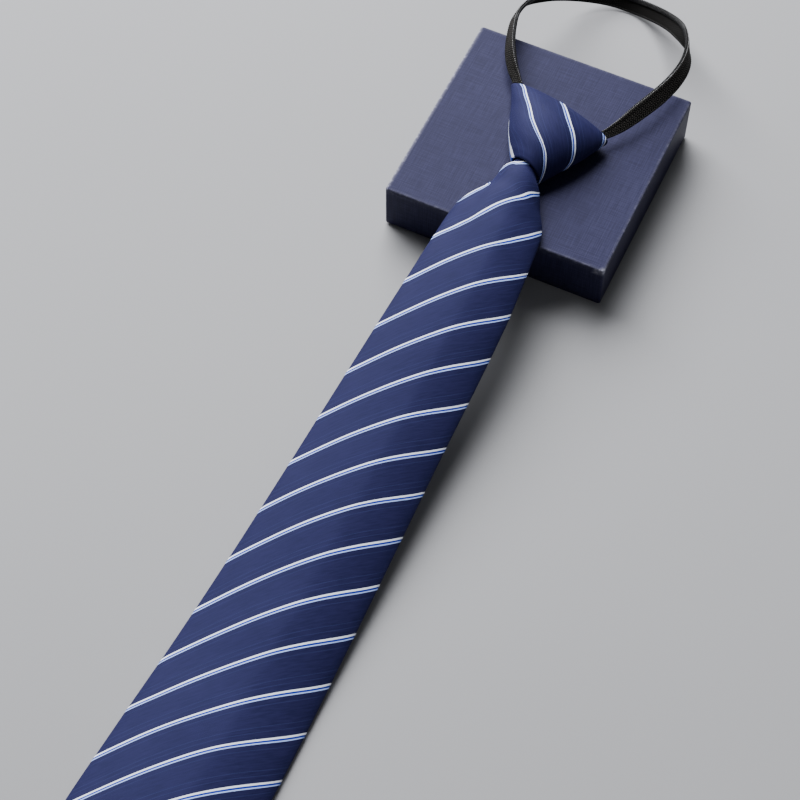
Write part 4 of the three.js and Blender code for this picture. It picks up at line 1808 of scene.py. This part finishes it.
    def profile(self) -> np.ndarray:
        """Draws the tape's section. Its two long edges are corded, with a groove beside each.

        Returns:
            Points as shares of the width and the thickness, anticlockwise.
        """
        upper = ((-0.5, 0.16), (-0.485, 0.42), (-0.45, 0.5), (-0.41, 0.46), (-0.375, 0.3), (-0.34, 0.36))
        upper += ((-0.2, 0.38), (0, 0.39), (0.16, 0.37), (0.2, 0.28), (0.235, 0.4), (0.33, 0.5))
        upper += ((0.43, 0.48), (0.485, 0.36), (0.5, 0.16))
        lower = [(x, -y) for x, y in upper]
        return np.array(lower + list(reversed(upper)))

    def tape(self) -> tuple[np.ndarray, np.ndarray]:
        """Sweeps the section along the route.

        Returns:
            The tape's points and cloth coordinates, with columns that wrap.
        """
        t = np.linspace(0, 1, self.steps + 1)
        origin, _, across, face, wide = self.frames(t)
        section = self.profile()
        x = section[None, :, 0] * (self.tape_width * wide)[:, None]
        y = np.repeat(section[None, :, 1] * self.thickness, len(t), axis=0)
        points = origin[:, None] + x[..., None] * across[:, None] + y[..., None] * face[:, None]
        return points, swept_cloth(origin, section * [self.tape_width, self.thickness])

    def rail(self, start: float, end: float, edge: float, inset: float, out: float) -> Rail:
        """Returns a rail that runs beside one edge of the tape.

        Args:
            start: Where it starts, as a share of the route.
            end: Where it ends.
            edge: 1 for the inner edge and -1 for the outer one.
            inset: Distance in from that edge.
            out: Distance out of the face from the tape's middle.

        Returns:
            The rail.
        """
        t = np.linspace(start, end, self.steps)
        origin, along, across, face, wide = self.frames(t)
        x = edge * (self.tape_width * wide / 2 - inset)
        points = origin + across * x[:, None] + face * out
        return Rail(points, along, across, np.clip(wide, self.narrowest, 1.0))

    def small_pieces(self, finishes: Finishes) -> None:
        """Builds and dresses the coil, the painted glint dots along the teeth edge and the seam's
        stitches.

        Args:
            finishes: The object's finishes.
        """
        first = self.coil_share
        last = 1 - first
        coil_rail = self.rail(first, last, edge=1, inset=0.9 * MM, out=-0.95 * MM)
        loops = Row(RowOf.COIL, pitch=1.1 * MM, across=2.6 * MM, high=1.2 * MM, wire=0.6 * MM, tilt=12)
        coil = loops.along("zip_teeth", [coil_rail], finishes.coil)
        dress(coil, finishes.coil, ("zip_coil",))
        shown = (self.dots_share, 1 - self.dots_share)
        # Light dots along the teeth edge, painted glints of the teeth heads catching the light.
        dot_rail = self.rail(*shown, edge=1, inset=0.05 * MM, out=0.1 * self.thickness)
        dots = Row(RowOf.STITCH, pitch=1.1 * MM, across=0.7 * MM, high=0.45 * MM, wire=0.45 * MM)
        edging = dots.along("edge_glint_dots", [dot_rail], finishes.glint_thread)
        dress(edging, finishes.glint_thread)
        faces = (0.5 * self.thickness, -0.5 * self.thickness)
        seam_rails = [self.rail(first, last, edge=-1, inset=0.75 * MM, out=out) for out in faces]
        seam = Row(RowOf.STITCH, pitch=1.7 * MM, across=1.25 * MM, high=0.5 * MM, wire=0.8 * MM)
        stitches = seam.along("tape_stitches", seam_rails, finishes.thread)
        dress(stitches, finishes.thread)

    def build(self, finishes: Finishes) -> None:
        """Builds and dresses the tape, its coil and its stitches.

        Args:
            finishes: The object's finishes.
        """
        points, uv = self.tape()
        band = grid_object("neck_tape", points, uv, wrap_columns=True)
        close_ends(band)
        dress(band, finishes.tape, ("neck_band",))
        self.small_pieces(finishes)


@dataclass
class ZippedChain:
    """The two tapes zipped together behind the blade, with the joined coil under them.

    Attributes:
        blade: The blade that the chain lies behind.
        width: Width of the zipped tapes.
        thickness: Thickness of tapes and coil together.
        length: Length below the knot's mouth.
        level: Height of the chain's middle at its upper end, in the knot.
        start: The blade's run at that end.
        tape: Thickness of the tapes alone.
        drop: Depth of the coil's middle under the upper face.
        steps: Steps along the chain.
        bare: Steps at the upper and at the lower end that have no coil.
    """

    blade: Blade
    width: float = 15 * MM
    thickness: float = 1.6 * MM
    length: float = 150 * MM
    level: float = 33.45 * MM
    start: float = -0.0432
    tape: float = 0.8 * MM
    drop: float = 1.1 * MM
    steps: int = 200
    bare: tuple[int, int] = (24, 8)

    def frames(self) -> tuple[np.ndarray, np.ndarray, np.ndarray, np.ndarray]:
        """Places the chain's sections.

        Returns:
            The middle of the chain's upper face, the ways along and across, and the width.
        """
        neck = -self.blade.neck / self.blade.length
        run = np.linspace(self.start, self.length / self.blade.length, self.steps)
        in_knot = ((self.start, 0.44, 1), (self.start + 0.00464, 0.44, 1), (neck, 0.48, 0), (0, 0.48, 0))
        table = SmoothTable(("run", "wide", "level"), in_knot + ((0.1, 1, 0), (1, 1, 0)))
        origin, across, _, _ = self.blade.frames(run)
        under = origin[:, 2] - GAP
        top = self.level + self.thickness / 2
        origin[:, 2] = under + (top - under) * table.read("level", run)
        along = unit(np.gradient(origin, axis=0))
        across = unit(across - along * (across * along).sum(axis=1, keepdims=True))
        return origin, along, across, self.width * table.read("wide", run)

    def build(self, finishes: Finishes) -> None:
        """Builds and dresses the zipped tapes and their coil.

        Args:
            finishes: The object's finishes.
        """
        origin, along, across, width = self.frames()
        down = unit(np.cross(along, across))
        down = down * -np.sign(down[:, 2:3])
        upper = ((-0.5, 0.5), (-0.48, 0.2), (0, 0.05), (0.48, 0.2))
        lower = ((0.5, 0.5), (0.48, 0.9), (0, 1), (-0.48, 0.9))
        section = np.array(upper + lower)
        x = section[None, :, 0] * width[:, None]
        y = section[None, :, 1] * self.tape
        points = origin[:, None] + x[..., None] * across[:, None] + y[..., None] * down[:, None]
        uv = swept_cloth(origin, section * [self.width, self.tape])
        tapes = grid_object("zipped_tapes", points, uv, wrap_columns=True)
        close_ends(tapes)
        dress(tapes, finishes.tape, ("zip_chain",))
        shown = slice(self.bare[0], -self.bare[1])
        middle = origin + down * self.drop
        rail = Rail(middle[shown], along[shown], across[shown], (width / self.width)[shown])
        row = Row(RowOf.COIL, pitch=1.35 * MM, across=4.6 * MM, high=0.7 * MM, wire=0.5 * MM, tilt=10)
        teeth = row.along("zipped_teeth", [rail], finishes.coil)
        dress(teeth, finishes.coil)


@dataclass(frozen=True)
class Studio:
    """The floor, the lights and the camera, at the photograph's angle.

    Attributes:
        azimuth: Angle of the camera round the object, in degrees from -Y.
        elevation: Angle of the camera over the table, in degrees.
        roll: Turn of the picture, in degrees.
        distance: Distance from the camera to its target.
        target: Place that the camera looks at.
        lens: Focal length in mm.
        sensor: Width of the sensor in mm.
        floor_half: Half the side of the floor.
        floor_gap: Depth of the floor under the object.
        lit: Place that the lights face.
        air: Colour of the light from all round.
        air_strength: Strength of that light.
    """

    azimuth: float = 24.96
    elevation: float = 58.55
    roll: float = 0.41
    distance: float = 1.0529
    target: tuple[float, float, float] = (-0.00692, -0.15425, 0.0)
    lens: float = 96.26
    sensor: float = 36.0
    floor_half: float = 4.0
    floor_gap: float = 0.2 * MM
    lit: tuple[float, float, float] = (0.0, -0.12, 0.02)
    air: tuple = rgb(0.75, 0.78, 0.84)
    air_strength: float = 0.12

    def camera(self) -> None:
        """Places the camera."""
        data = bpy.data.cameras.new("camera")
        data.lens = self.lens
        data.sensor_width = self.sensor
        data.clip_start = 0.05
        data.clip_end = 20.0
        seen = bpy.data.objects.new("camera", data)
        bpy.context.scene.collection.objects.link(seen)
        a, e, r = (math.radians(value) for value in (self.azimuth, self.elevation, self.roll))
        back = Vector((math.sin(a) * math.cos(e), -math.cos(a) * math.cos(e), math.sin(e)))
        level = Vector((math.cos(a), math.sin(a), 0.0))
        rise = back.cross(level)
        right = level * math.cos(r) + rise * math.sin(r)
        up = rise * math.cos(r) - level * math.sin(r)
        turn = Matrix((right, up, back)).transposed().to_4x4()
        seen.matrix_world = Matrix.Translation(Vector(self.target) + back * self.distance) @ turn
        bpy.context.scene.camera = seen

    def floor(self) -> None:
        """Lays the plain pale floor."""
        mesh = bpy.data.meshes.new("floor")
        corners = ((-1, -1), (1, -1), (1, 1), (-1, 1))
        places = [(x * self.floor_half, y * self.floor_half, -self.floor_gap) for x, y in corners]
        mesh.from_pydata(places, [], [(0, 1, 2, 3)])
        ground = new_object("floor", mesh)
        g = Graph("pale floor")
        soft = g.noise(g.place(), 3.0)
        color = g.mix(soft, rgb(0.30, 0.30, 0.31), rgb(0.32, 0.32, 0.33))
        ground.data.materials.append(g.finish(color, 0.7, soft, 0.01 * MM, Specular_IOR_Level=0.2))

    def light(self, name: str, place: tuple, size: float, power: float, color: tuple) -> None:
        """Adds a square soft light that faces the blade's upper part.

        Args:
            name: The light's name.
            place: Where it hangs.
            size: Its side.
            power: Its power in watts.
            color: Its colour.
        """
        data = bpy.data.lights.new(name, "AREA")
        data.shape = "SQUARE"
        data.size = size
        data.energy = power
        data.color = color
        lamp = bpy.data.objects.new(name, data)
        bpy.context.scene.collection.objects.link(lamp)
        lamp.location = place
        aim = Vector(self.lit) - Vector(place)
        lamp.rotation_euler = aim.to_track_quat("-Z", "Y").to_euler()

    def build(self) -> None:
        """Sets up the whole studio."""
        self.camera()
        self.floor()
        self.light("window", place=(-1.22, 1.15, 1.6), size=2.1, power=228.0, color=(0.97, 0.98, 1.0))
        self.light("fill", place=(1.2, -1.3, 1.4), size=1.4, power=2.3, color=(1.0, 1.0, 1.0))
        world = bpy.data.worlds.new("studio")
        bpy.context.scene.world = world
        world.use_nodes = True
        background = world.node_tree.nodes["Background"]
        background.inputs["Color"].default_value = self.air
        background.inputs["Strength"].default_value = self.air_strength


def main() -> None:
    """Builds the scene in order."""
    logging.basicConfig(level=logging.INFO, format="%(name)s %(message)s")
    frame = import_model()
    finishes = Finishes.make()
    Studio().build()
    GiftBox().build(finishes)
    blade = Blade()
    blade.build(finishes)
    Knot().build(finishes)
    NeckBand().build(finishes)
    ZippedChain(blade).build(finishes)
    slider = frame["nodes"]["zip_slider"]
    slider.data.materials.clear()
    slider.data.materials.append(finishes.metal)
    LOG.info("%s: its own mesh, with a finish", slider.name)


if __name__ == "__main__":
    main()
